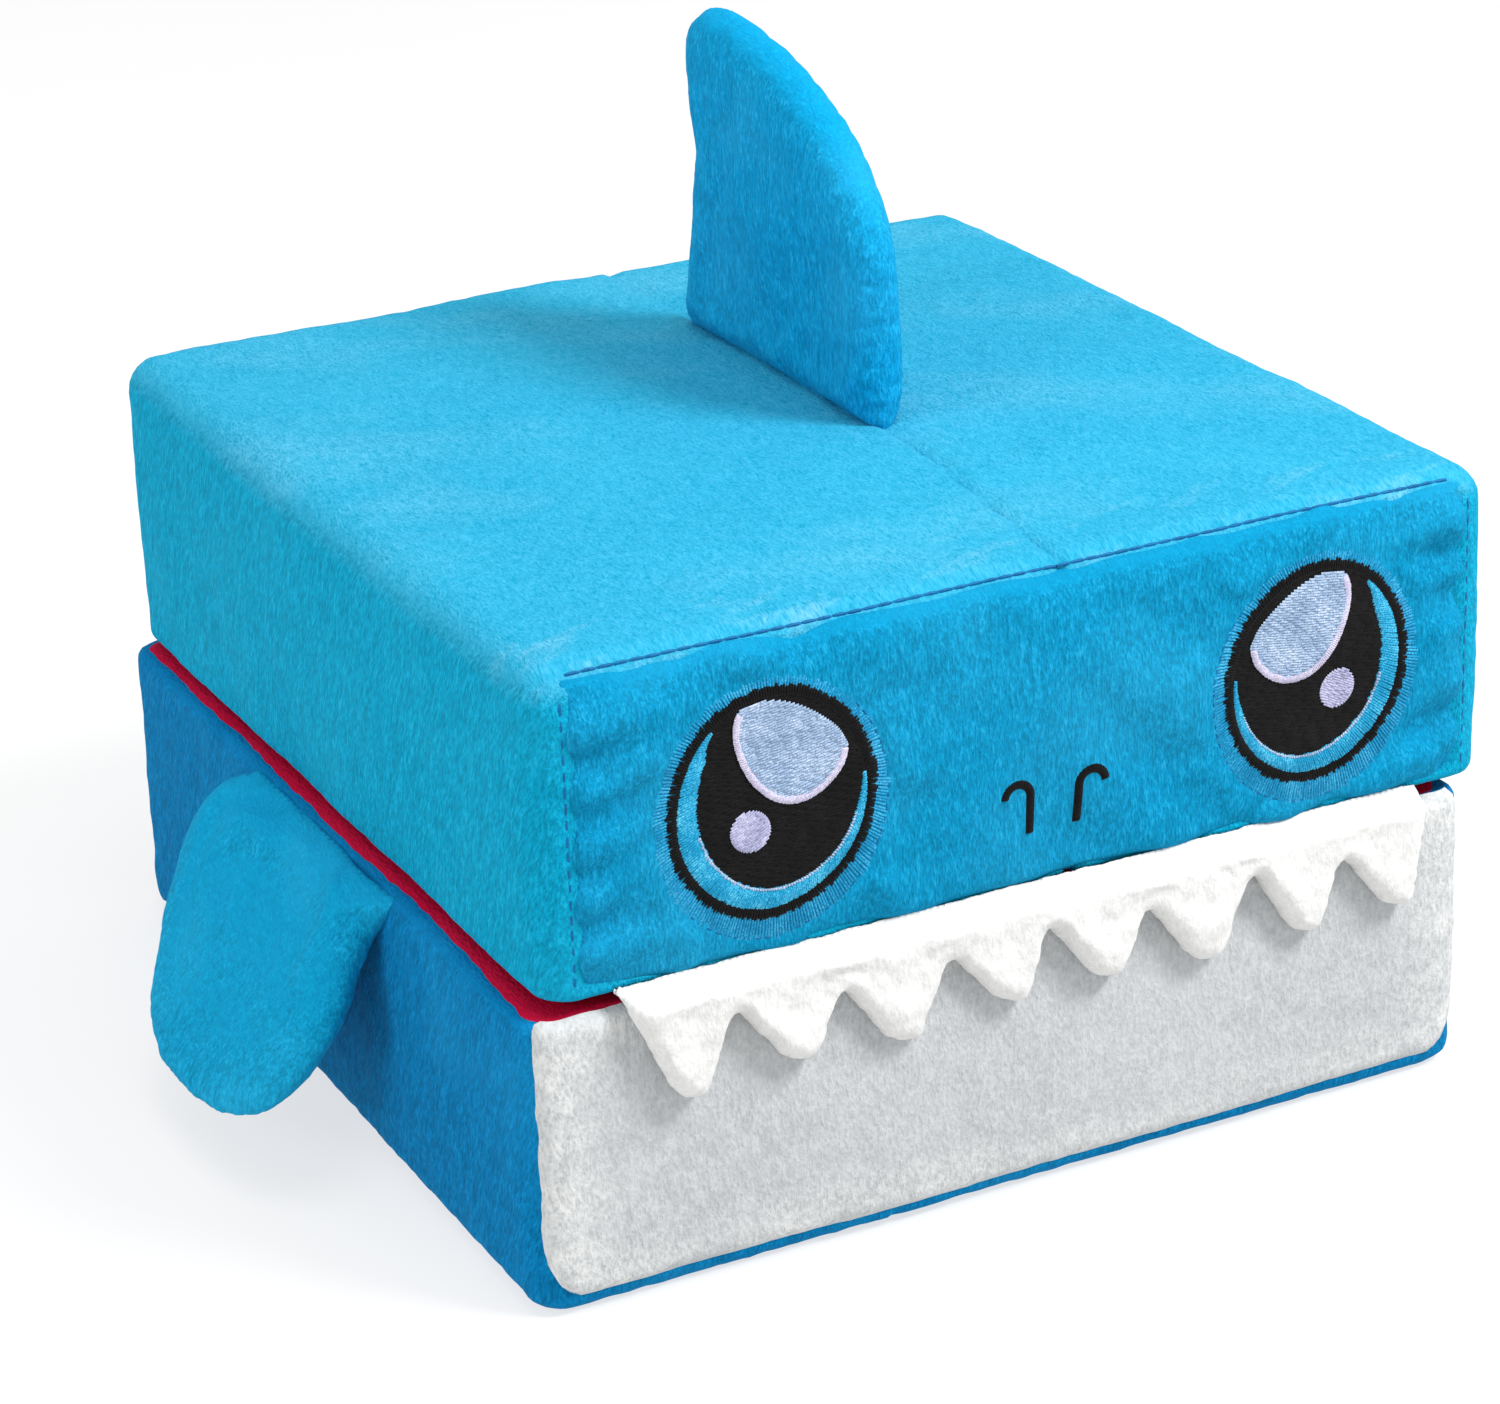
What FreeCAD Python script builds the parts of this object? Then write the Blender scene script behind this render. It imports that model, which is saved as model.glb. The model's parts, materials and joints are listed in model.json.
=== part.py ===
"""Box-shaped plush shark: two soft-walled halves joined by a fabric hinge along the back edge.

Millimetres, +Z up. The origin is the centre of the resting face; the mouth faces -Y.
"""

import FreeCAD, Part
import os
import re
import Sketcher

doc = FreeCAD.newDocument("plush_shark")
sheet = doc.addObject("Spreadsheet::Sheet", "Sizes")
scratch = doc.addObject("Spreadsheet::Sheet", "Scratch")

# Driving dimensions: plain numbers with a word each.
DRIVING = {
    "width": 250,
    "depth": 260,
    "base_height": 75,
    "lid_height": 76,
    "mouth_gap": 3,
    "lid_shift": 5,
    "cloth": 3,
    "foam": 15,
    "corner_radius": 10,
    "edge_radius": 8,
    "seam_inset": 6,
    "face_inset": 5,
    "under_edge": 5,
    "hinge_radius": 1.1,
    "hinge_length": 236,
    "soft_gap": 0.4,
    "root_tab": 3,
    "fin_shift": 15,
    "dorsal_length": 106,
    "dorsal_height": 90,
    "dorsal_thickness": 13,
    "dorsal_front": -34,
    "dorsal_root_gap": 0.8,
    "dorsal_pinch": 8,
    "dorsal_corner": 8,
    "pectoral_centre": -3,
    "pectoral_length": 107,
    "pectoral_height": 72,
    "pectoral_thickness": 9,
    "pectoral_hang": 33,
    "pectoral_root_height": 74,
    "pectoral_root_gap": 2,
    "pectoral_pinch": 12,
    "pectoral_corner": 12,
    "fin_rim": 3,
    "teeth_width": 214,
    "teeth_centre": 2.5,
    "tooth_pitch": 27,
    "tooth_drop": 29,
    "tooth_band": 11,
    "tooth_thickness": 8,
    "tooth_corner": 4,
    "teeth_end_run": 7,
    "feature_shift": 2.5,
    "eye_spread": 71.4,
    "eye_height": 37.5,
    "ring_width": 51,
    "ring_height": 54.5,
    "ring_line": 2.6,
    "halo_line": 3,
    "edge_line": 0.8,
    "pupil_width": 39,
    "pupil_height": 43,
    "pupil_up": 2.6,
    "pupil_inward": 1.4,
    "glint_width": 37,
    "glint_height": 35,
    "glint_corner": 5,
    "glint_border": 1.6,
    "small_glint_width": 9.3,
    "small_glint_height": 10,
    "small_glint_down": 5,
    "small_glint_outward": 4.5,
    "thread": 0.7,
    "nostril_spread": 6.2,
    "nostril_bar": 12,
    "nostril_curl": 3.4,
    "nostril_height": 21,
}

# Dimensions that follow from the driving ones.
DERIVED = {
    "half_width": "width / 2",
    "half_depth": "depth / 2",
    "wall": "2 * cloth + foam",
    "lid_low": "base_height + mouth_gap",
    "lid_high": "lid_low + lid_height",
    "inner_half_width": "half_width - cloth",
    "inner_half_depth": "half_depth - cloth",
    "liner_half_width": "inner_half_width - foam",
    "liner_half_depth": "inner_half_depth - foam",
    "cavity_half_width": "half_width - wall",
    "cavity_half_depth": "half_depth - wall",
    "base_rim": "base_height - cloth",
    "lid_rim": "lid_low + cloth",
    "base_floor": "cloth + foam",
    "lid_ceiling": "lid_high - cloth - foam",
    "inner_corner": "corner_radius - cloth",
    "inner_edge": "edge_radius - cloth",
    "hinge_height": "base_height + mouth_gap / 2",
    "fin_line": "lid_shift + fin_shift",
    "nose_line": "lid_shift + feature_shift",
    "pectoral_root": "half_width + pectoral_root_gap",
    "dorsal_root": "lid_high + dorsal_root_gap",
    "dorsal_cloth": "2 * cloth",
    "pectoral_cloth": "1.5 * cloth",
    "ring_half_width": "ring_width / 2",
    "ring_half_height": "ring_height / 2",
    "iris_half_width": "ring_half_width - ring_line",
    "iris_half_height": "ring_half_height - ring_line",
    "halo_half_width": "ring_half_width + halo_line",
    "halo_half_height": "ring_half_height + halo_line",
    "edge_half_width": "halo_half_width + edge_line",
    "edge_half_height": "halo_half_height + edge_line",
}

TOOTH_COUNT = 8
# How far before each tip its notch lies, in pitches: the teeth lean to one side.
NOTCH_SHARE = 0.64
# How far each filling reaches towards its seam, as a share of its outline or of a tooth's depth.
FILLING_SHARE = 0.84
TOOTH_FILLING_SHARE = 0.72
# The highlight's blue field, as a share of the highlight with its border.
GLINT_FIELD_SHARE = 0.84
# The hook is round, but an ellipse needs one radius to be the longer.
HOOK_ROUND = "0.999 * nostril_curl"
# Two heights closer than this are the same.
TOUCH = 1e-4
# How far a cutting body reaches past the piece that it cuts.
PAST = 1

# Turns an ellipse's long axis upright and its plane to face the mouth.
STANDING = FreeCAD.Rotation(
    FreeCAD.Vector(0, 0, 1), FreeCAD.Vector(1, 0, 0), FreeCAD.Vector(0, 1, 0), "XYZ"
)
# Turns a sketch's X to the row's X and its Y upright, facing the mouth.
FACING = FreeCAD.Rotation(FreeCAD.Vector(1, 0, 0), 90)
# Turns a fin's plane to its side view, which shows its thickness against its depth.
SIDE_TURN = FreeCAD.Rotation(FreeCAD.Vector(1, 1, 1), 120)

for row, (alias, size) in enumerate({**DRIVING, **DERIVED}.items(), start=1):
    sheet.set(f"A{row}", alias)
    sheet.set(f"B{row}", f"={size}" if alias in DERIVED else str(size))
    sheet.setAlias(f"B{row}", alias)
doc.recompute()

subparts = []


def bound(text):
    """An expression over the sheet's aliases, written for an object outside the sheet."""
    return re.sub(r"[a-z][a-z_]*", r"Sizes.\g<0>", text)


def bind(thing, sizes):
    for prop, text in sizes.items():
        thing.setExpression(prop, bound(text))


def number(text):
    """What an expression over the aliases comes to, worked out in a spare cell."""
    scratch.set("A1", f"={bound(text)}")
    scratch.recompute()
    return float(scratch.get("A1"))


def subpart(thing, label):
    """Marks an object as a piece of its own, which goes to a file named after its label."""
    thing.Label = label
    subparts.append(thing)
    return thing


def box(name, x, y, z):
    """A box between pairs of low and high expressions."""
    block = doc.addObject("Part::Box", name)
    sides = zip(("Length", "Width", "Height"), "xyz", (x, y, z))
    for prop, axis, (low, high) in sides:
        bind(block, {prop: f"({high}) - ({low})", f"Placement.Base.{axis}": low})
    return block


def join(kind, name, first, second):
    """A Part::Cut, Part::Common or Part::Fuse of two objects."""
    result = doc.addObject(kind, name)
    result.Base, result.Tool = first, second
    return result


def plane_of(body, role):
    return next(item for item in body.Origin.OriginFeatures if item.Role == role)


def outline_sketch(body, name, corners, setback):
    """A closed outline through corners given as pairs of expressions, set back from the body's XY plane."""
    sketch = body.newObject("Sketcher::SketchObject", name)
    sketch.AttachmentSupport = [(plane_of(body, "XY_Plane"), "")]
    sketch.MapMode = "FlatFace"
    bind(sketch, {"AttachmentOffset.Base.z": setback})
    points = [FreeCAD.Vector(number(x), number(y), 0) for x, y in corners]
    for start, end in zip(points, points[1:] + points[:1]):
        sketch.addGeometry(Part.LineSegment(start, end))
    count = len(corners)
    for line in range(count):
        sketch.addConstraint(Sketcher.Constraint("Coincident", line, 2, (line + 1) % count, 1))
    for line, (corner, point) in enumerate(zip(corners, points)):
        for way, text, value in zip(("DistanceX", "DistanceY"), corner, (point.x, point.y)):
            constraint = sketch.addConstraint(Sketcher.Constraint(way, -1, 1, line, 1, value))
            sketch.setExpression(f"Constraints[{constraint}]", bound(text))
    return sketch


def padded_body(name, corners, thickness, centred):
    """A body with one pad of an outline, centred on its XY plane or standing on it."""
    body = doc.addObject("PartDesign::Body", name)
    sketch = outline_sketch(body, f"{name}_outline", corners, f"0 - ({thickness}) / 2" if centred else "0")
    pad = body.newObject("PartDesign::Pad", f"{name}_pad")
    pad.Profile = sketch
    bind(pad, {"Length": thickness})
    doc.recompute()
    return body


def fillet_where(body, radius, wanted):
    """Rounds the edges of a body's tip that a test picks out."""
    base = body.Tip
    edges = [f"Edge{i}" for i, edge in enumerate(base.Shape.Edges, start=1) if wanted(edge)]
    fillet = body.newObject("PartDesign::Fillet", f"{body.Name}_fillet_{len(body.Group)}")
    fillet.Base = (base, edges)
    bind(fillet, {"Radius": radius})
    doc.recompute()
    return fillet


def stands(edge):
    """True for an edge along the pad's direction."""
    first, last = edge.Vertexes[0].Point, edge.Vertexes[-1].Point
    rise = abs(first.z - last.z)
    return rise > TOUCH and (first - last).Length - rise < TOUCH


def rounded_block(name, half_x, half_y, low, high, corner, edge, closed_low):
    """An upright block with rounded corners, and a rounded rim round its closed end."""
    corners = [(f"{sx} * {half_x}", f"{sy} * {half_y}") for sx, sy in ((-1, -1), (1, -1), (1, 1), (-1, 1))]
    body = padded_body(name, corners, f"({high}) - ({low})", False)
    fillet_where(body, corner, stands)
    ends = body.Tip.Shape.BoundBox
    level = ends.ZMin if closed_low else ends.ZMax
    fillet_where(body, edge, lambda e: abs(e.BoundBox.ZMin - level) + abs(e.BoundBox.ZMax - level) < TOUCH)
    bind(body, {"Placement.Base.z": low})
    return body


def panel(label, shell, x, y, z):
    """The part of a shell inside a box, as a piece of its own."""
    region = box(f"{label}_region", x, y, z)
    return subpart(join("Part::Common", f"{label}_panel", shell, region), label)


# Ranges that reach past the object, for a region open on that side.
FAR = "width + depth"
ALL_X = (f"0 - ({FAR})", FAR)
ALL_Y = (f"0 - ({FAR})", FAR)
FRONT_SEAM = "seam_inset - half_depth"
BACK_SEAM = "half_depth - seam_inset"


def make_base_cover():
    """The outside of the lower half: bottom, grey front panel, two sides and back."""
    outer = rounded_block(
        "base_outer", "half_width", "half_depth", "0", "base_height", "corner_radius", "edge_radius", True
    )
    inner = rounded_block(
        "base_inner", "inner_half_width", "inner_half_depth", "cloth", f"base_height + {PAST}",
        "inner_corner", "inner_edge", True,
    )
    shell = join("Part::Cut", "base_shell", outer, inner)
    upright = ("under_edge", "base_rim")
    between = (FRONT_SEAM, BACK_SEAM)
    panel("base_cover_bottom", shell, ALL_X, ALL_Y, ("0", "under_edge"))
    panel("base_front_panel", shell, ALL_X, (ALL_Y[0], FRONT_SEAM), upright)
    panel("base_cover_back", shell, ALL_X, (BACK_SEAM, ALL_Y[1]), upright)
    panel("base_cover_left", shell, (ALL_X[0], "0"), between, upright)
    panel("base_cover_right", shell, ("0", ALL_X[1]), between, upright)
    return outer, inner


def make_lid_cover():
    """The outside of the upper half: the face, and two halves that meet at the centre seam."""
    outer = rounded_block(
        "lid_outer", "half_width", "half_depth", "lid_low", "lid_high", "corner_radius", "edge_radius", False
    )
    inner = rounded_block(
        "lid_inner", "inner_half_width", "inner_half_depth", f"lid_low - {PAST}", "lid_high - cloth",
        "inner_corner", "inner_edge", False,
    )
    for body in (outer, inner):
        bind(body, {"Placement.Base.x": "lid_shift"})
    shell = join("Part::Cut", "lid_shell", outer, inner)
    upright = ("lid_rim", "lid_high")
    face_x = ("lid_shift - half_width + face_inset", "lid_shift + half_width - face_inset")
    panel("face_panel", shell, face_x, (ALL_Y[0], FRONT_SEAM), upright)
    face_room = box("face_room", face_x, (ALL_Y[0], FRONT_SEAM), upright)
    rest = join("Part::Cut", "lid_shell_rest", shell, face_room)
    panel("lid_cover_left", rest, (ALL_X[0], "fin_line"), ALL_Y, upright)
    panel("lid_cover_right", rest, ("fin_line", ALL_X[1]), ALL_Y, upright)
    return outer, inner


def make_foam(half, inner, centre, floor, walls):
    """Five foam slabs that hold one half in shape: the flat one, then its four walls."""
    low_x, high_x = f"{centre} - liner_half_width", f"{centre} + liner_half_width"
    panel(f"{half}_foam_flat", inner, ALL_X, ALL_Y, floor)
    panel(f"{half}_foam_left", inner, (ALL_X[0], low_x), ALL_Y, walls)
    panel(f"{half}_foam_right", inner, (high_x, ALL_X[1]), ALL_Y, walls)
    panel(f"{half}_foam_front", inner, (low_x, high_x), (ALL_Y[0], "0 - liner_half_depth"), walls)
    panel(f"{half}_foam_back", inner, (low_x, high_x), ("liner_half_depth", ALL_Y[1]), walls)


def make_lining(half, outer, centre, room, cavity, rim):
    """The crimson lining of one half: a tray with a rim that turns out over the foam to the mouth's edge."""

    def block(name, half_x, half_y, z):
        return box(name, (f"{centre} - {half_x}", f"{centre} + {half_x}"), (f"0 - {half_y}", half_y), z)

    tray = block(f"{half}_lining_tray", "liner_half_width", "liner_half_depth", room)
    band = join("Part::Common", f"{half}_lining_rim", outer, box(f"{half}_rim_region", ALL_X, ALL_Y, rim))
    whole = join("Part::Fuse", f"{half}_lining_whole", tray, band)
    hollow = block(f"{half}_hollow", "cavity_half_width", "cavity_half_depth", cavity)
    subpart(join("Part::Cut", f"{half}_lining_cut", whole, hollow), f"{half}_lining")


def make_hinge():
    """The rolled seam along the back edge, which the lid turns about."""
    roll = doc.addObject("Part::Cylinder", "hinge_roll")
    roll.Placement.Rotation = FreeCAD.Rotation(FreeCAD.Vector(0, 1, 0), 90)
    bind(roll, {
        "Radius": "hinge_radius",
        "Height": "hinge_length",
        "Placement.Base.x": "0 - hinge_length / 2",
        "Placement.Base.y": "half_depth",
        "Placement.Base.z": "hinge_height",
    })
    subpart(roll, "hinge_fold")


def place(thing, rotation, at):
    thing.Placement.Rotation = rotation
    bind(thing, {f"Placement.Base.{axis}": text for axis, text in zip("xyz", at)})


def sewn_pair(name, sides, outer, filling, rotation, at):
    """Two cloth halves that meet in the plane of an outline, and the filling between them.

    sides names the half on the positive side of the plane first.
    """
    cloth = join("Part::Cut", f"{name}_cloth", outer, filling)
    for side, low in zip(sides, ("0", "0 - width")):
        half = doc.addObject("Part::Box", f"{name}_{side}_half")
        bind(half, {"Length": "2 * width", "Width": "2 * width", "Height": "width"})
        corner = FreeCAD.Vector(number("0 - width"), number("0 - width"), number(low))
        root = FreeCAD.Vector(*[number(text) for text in at])
        half.Placement = FreeCAD.Placement(root + rotation.multVec(corner), rotation)
        subpart(join("Part::Common", f"{name}_{side}_cut", cloth, half), f"{name}_{side}_cover")
    subpart(filling, f"{name}_filling")


def shares(pairs, length, depth):
    """Corners given as shares of two sizes."""
    return [(f"{x} * {length}", f"{y} * {depth}") for x, y in pairs]


def drawn_in(pairs, share, centre):
    """An outline's shares drawn towards a point inside it."""
    return [tuple(c + (v - c) * share for v, c in zip(pair, centre)) for pair in pairs]


def make_fin(name, sides, pairs, middle, rotation, at):
    """A stuffed fin: an outline with a rounded rim, pinched to a thin seam along its root."""
    kind = name.split("_")[0]
    length, depth, thickness = f"{kind}_length", f"{kind}_height", f"{kind}_thickness"
    blank = padded_body(f"{name}_blank", shares(pairs, length, depth), thickness, True)
    fillet_where(blank, f"{kind}_corner", lambda e: stands(e) and e.BoundBox.YMin > TOUCH)
    fillet_where(blank, "fin_rim", lambda e: not stands(e) and e.BoundBox.YMax > TOUCH)
    place(blank, rotation, at)
    side_view = [
        ("0", "0 - root_tab / 2"),
        (f"{kind}_pinch", f"0 - {thickness} / 2"),
        (f"{depth} + {PAST}", f"0 - {thickness} / 2"),
        (f"{depth} + {PAST}", f"{thickness} / 2"),
        (f"{kind}_pinch", f"{thickness} / 2"),
        ("0", "root_tab / 2"),
    ]
    pinch = padded_body(f"{name}_side_view", side_view, f"2 * {length}", True)
    place(pinch, rotation * SIDE_TURN, at)
    outer = join("Part::Common", f"{name}_outer", blank, pinch)
    core = drawn_in(pairs, FILLING_SHARE, middle)
    filling = padded_body(f"{name}_core", shares(core, length, depth), f"{thickness} - {kind}_cloth", True)
    place(filling, rotation, at)
    sewn_pair(name, sides, outer, filling, rotation, at)


# From the front of the root, up the leading edge to the swept tip and down the trailing edge.
DORSAL_OUTLINE = (
    (0, 0), (0, 0.53), (0.09, 0.71), (0.24, 0.85), (0.46, 0.95), (0.93, 1), (0.94, 0.8), (0.91, 0.56), (1, 0),
)
DORSAL_MIDDLE = (0.5, 0.5)
# From the front of the root, down to the broad rounded end and back up.
PECTORAL_OUTLINE = (
    (-0.45, 0), (-0.5, 0.58), (-0.39, 0.88), (-0.08, 1), (0.22, 0.95), (0.43, 0.6), (0.5, 0.22), (0.43, 0),
)
PECTORAL_MIDDLE = (0, 0.55)


def make_fins():
    """The dorsal fin on the lid's centre seam, and a pectoral fin in each side's top seam."""
    along, up = FreeCAD.Vector(0, 1, 0), FreeCAD.Vector(0, 0, 1)
    upright = FreeCAD.Rotation(along, up, along.cross(up), "XYZ")
    dorsal_at = ("fin_line", "dorsal_front", "dorsal_root")
    make_fin("dorsal_fin", ("right", "left"), DORSAL_OUTLINE, DORSAL_MIDDLE, upright, dorsal_at)
    for name, sign, sides in (
        ("pectoral_fin_left", -1, ("outer", "inner")),
        ("pectoral_fin_right", 1, ("inner", "outer")),
    ):
        hang = FreeCAD.Rotation(FreeCAD.Vector(0, -sign, 0), number("pectoral_hang"))
        down = hang.multVec(FreeCAD.Vector(0, 0, -1))
        rotation = FreeCAD.Rotation(along, down, along.cross(down), "XYZ")
        at = (f"{sign} * pectoral_root", "pectoral_centre", "pectoral_root_height")
        make_fin(name, sides, PECTORAL_OUTLINE, PECTORAL_MIDDLE, rotation, at)


def tooth_line(depth_share, inset):
    """The strip's outline: straight along the seam, with a row of teeth below a solid band."""
    last_tip = "(teeth_width / 2 - teeth_end_run)"
    corners = [(f"{inset} - teeth_width / 2", inset)]
    for tooth in range(TOOTH_COUNT):
        back = TOOTH_COUNT - 1 - tooth
        if tooth:
            notch = f"{last_tip} - tooth_pitch * {back + NOTCH_SHARE}"
            corners.append((notch, f"{depth_share} * tooth_band"))
        corners.append((f"{last_tip} - {inset} - tooth_pitch * {back}", f"{depth_share} * tooth_drop"))
    corners.append((f"teeth_width / 2 - {inset}", inset))
    return corners


def make_teeth():
    """The padded white strip of teeth that hangs from the lid's front edge."""
    across, down = FreeCAD.Vector(1, 0, 0), FreeCAD.Vector(0, 0, -1)
    rotation = FreeCAD.Rotation(across, down, across.cross(down), "XYZ")
    at = ("teeth_centre", "0 - half_depth - soft_gap - tooth_thickness / 2", "lid_low - soft_gap")
    outer = padded_body("teeth_outer", tooth_line(1, "0"), "tooth_thickness", True)
    tip = number("tooth_drop") - TOUCH
    fillet_where(outer, "tooth_corner", lambda e: stands(e) and e.BoundBox.YMin > tip)
    core = tooth_line(TOOTH_FILLING_SHARE, "cloth")
    filling = padded_body("teeth_core", core, "tooth_thickness - cloth", True)
    for body in (outer, filling):
        place(body, rotation, at)
    sewn_pair("teeth", ("back", "front"), outer, filling, rotation, at)


def oval(name, half_width, half_height, centre, layer):
    """An upright oval plate on the face: one or two threads thick, its back on the layer below."""
    curve = doc.addObject("Part::Ellipse", f"{name}_curve")
    curve.Placement.Rotation = STANDING
    bind(curve, {
        "MajorRadius": half_height,
        "MinorRadius": half_width,
        "Placement.Base.x": centre[0],
        "Placement.Base.y": f"0 - half_depth - {layer} * thread",
        "Placement.Base.z": centre[1],
    })
    return raised(name, curve)


def raised(name, outline):
    plate = doc.addObject("Part::Extrusion", f"{name}_plate")
    plate.Base = outline
    plate.DirMode = "Custom"
    plate.Dir = FreeCAD.Vector(0, -1, 0)
    plate.Solid = True
    bind(plate, {"LengthFwd": "thread"})
    return plate


def make_eye(side, sign):
    """One embroidered eye: flat fields of thread side by side, the highlights stitched over the pupil."""
    centre = (f"nose_line + {sign} * eye_spread", "lid_low + eye_height")
    inward = (f"{centre[0]} - {sign} * pupil_inward", f"{centre[1]} + pupil_up")
    name = f"eye_{side}"
    edge = oval(f"{name}_edge", "edge_half_width", "edge_half_height", centre, 0)
    halo = oval(f"{name}_halo", "halo_half_width", "halo_half_height", centre, 0)
    ring = oval(f"{name}_ring", "ring_half_width", "ring_half_height", centre, 0)
    iris = oval(f"{name}_iris", "iris_half_width", "iris_half_height", centre, 0)
    pupil = oval(f"{name}_pupil", "pupil_width / 2", "pupil_height / 2", inward, 0)
    subpart(join("Part::Cut", f"{name}_edge_cut", edge, halo), f"{name}_edge_line")
    subpart(join("Part::Cut", f"{name}_halo_cut", halo, ring), f"{name}_halo")
    subpart(join("Part::Cut", f"{name}_ring_cut", ring, iris), f"{name}_outline")
    subpart(join("Part::Cut", f"{name}_iris_cut", iris, pupil), f"{name}_crescent")
    subpart(pupil, f"{name}_pupil")
    glint = [
        (f"{share_x * -sign} * glint_width", f"{share_z} * glint_height")
        for share_x, share_z in ((-0.33, 0.87), (0.69, 0.4), (0.1, -0.12))
    ]
    make_glint(name, glint, centre)
    low_glint = (f"{centre[0]} + {sign} * small_glint_outward", f"{centre[1]} - small_glint_down")
    subpart(
        oval(f"{name}_small_glint", "small_glint_width / 2", "small_glint_height / 2", low_glint, 1),
        f"{name}_small_highlight",
    )


def make_glint(name, corners, centre):
    """The large highlight, a triangle with rounded corners, and the pale border round it."""
    at = (centre[0], "0 - half_depth - thread", centre[1])
    middle_x = " + ".join(x for x, _ in corners)
    middle_z = " + ".join(z for _, z in corners)
    outer = padded_body(f"{name}_glint_outer", corners, "thread", False)
    fillet_where(outer, "glint_corner", stands)
    share, pull = GLINT_FIELD_SHARE, (1 - GLINT_FIELD_SHARE) / len(corners)
    field_corners = [
        (f"{share} * ({x}) + {pull} * ({middle_x})", f"{share} * ({z}) + {pull} * ({middle_z})")
        for x, z in corners
    ]
    field = padded_body(f"{name}_glint_field", field_corners, "thread", False)
    fillet_where(field, "glint_corner - glint_border", stands)
    for body in (outer, field):
        place(body, FACING, at)
    subpart(join("Part::Cut", f"{name}_glint_border", outer, field), f"{name}_highlight_border")
    subpart(field, f"{name}_highlight")


def make_nostril(side, sign):
    """A stitched nostril: an upright bar that bends over into a short hook, turned outward."""
    centre_x = f"nose_line + {sign} * nostril_spread"
    hook_x = f"({centre_x} + {sign} * nostril_curl)"
    hook_z = "(lid_low + nostril_height + nostril_bar / 2 - nostril_curl)"
    layer = ("0 - half_depth - thread", "0 - half_depth")
    bar = box(
        f"nostril_{side}_bar",
        (f"{centre_x} - thread", f"{centre_x} + thread"),
        layer,
        ("lid_low + nostril_height - nostril_bar / 2", hook_z),
    )
    hook_at = (hook_x, hook_z)
    disc = oval(f"nostril_{side}_disc", HOOK_ROUND + " + thread", "nostril_curl + thread", hook_at, 0)
    hole = oval(f"nostril_{side}_hole", HOOK_ROUND + " - thread", "nostril_curl - thread", hook_at, 0)
    whole_ring = join("Part::Cut", f"nostril_{side}_ring", disc, hole)
    reach = f"{hook_x} - 2 * nostril_curl", f"{hook_x} + 2 * nostril_curl"
    over = box(f"nostril_{side}_over", reach, layer, (hook_z, f"{hook_z} + 2 * nostril_curl"))
    hook = join("Part::Common", f"nostril_{side}_hook", whole_ring, over)
    subpart(join("Part::Fuse", f"nostril_{side}_whole", bar, hook), f"nostril_{side}")


def make_halves():
    base_outer, base_inner = make_base_cover()
    lid_outer, lid_inner = make_lid_cover()
    make_foam("base", base_inner, "0", ("cloth", "base_floor"), ("base_floor", "base_rim"))
    make_foam("lid", lid_inner, "lid_shift", ("lid_ceiling", "lid_high - cloth"), ("lid_rim", "lid_ceiling"))
    make_lining(
        "base", base_outer, "0", ("base_floor", "base_rim"),
        ("base_floor + cloth", "base_height + cloth"), ("base_rim", "base_height"),
    )
    make_lining(
        "lid", lid_outer, "lid_shift", ("lid_rim", "lid_ceiling"),
        ("lid_low - cloth", "lid_ceiling - cloth"), ("lid_low", "lid_rim"),
    )


def refuse_faults():
    """Stops before anything is written if an object failed or a piece has no sound solid."""
    doc.recompute()
    faults = [
        f"{thing.Name}: {thing.State}" for thing in doc.Objects if {"Invalid", "Error"} & set(thing.State)
    ]
    for thing in subparts:
        shape = thing.Shape
        if shape.isNull() or not shape.isValid() or len(shape.Solids) != 1 or shape.Volume <= 0:
            faults.append(f"{thing.Label}: {len(shape.Solids)} solids")
    if faults:
        raise RuntimeError("; ".join(faults))


make_halves()
make_hinge()
make_fins()
make_teeth()
for eye_side, eye_sign in (("left", -1), ("right", 1)):
    make_eye(eye_side, eye_sign)
    make_nostril(eye_side, eye_sign)
refuse_faults()

os.makedirs("parts", exist_ok=True)
for thing in subparts:
    thing.Shape.exportStep(f"parts/{thing.Label}.step")
print(len(subparts), "pieces written")
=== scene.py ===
import json
import math
import random

import bmesh
import bpy
import numpy as np
from mathutils import Matrix, Vector, geometry, noise


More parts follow.
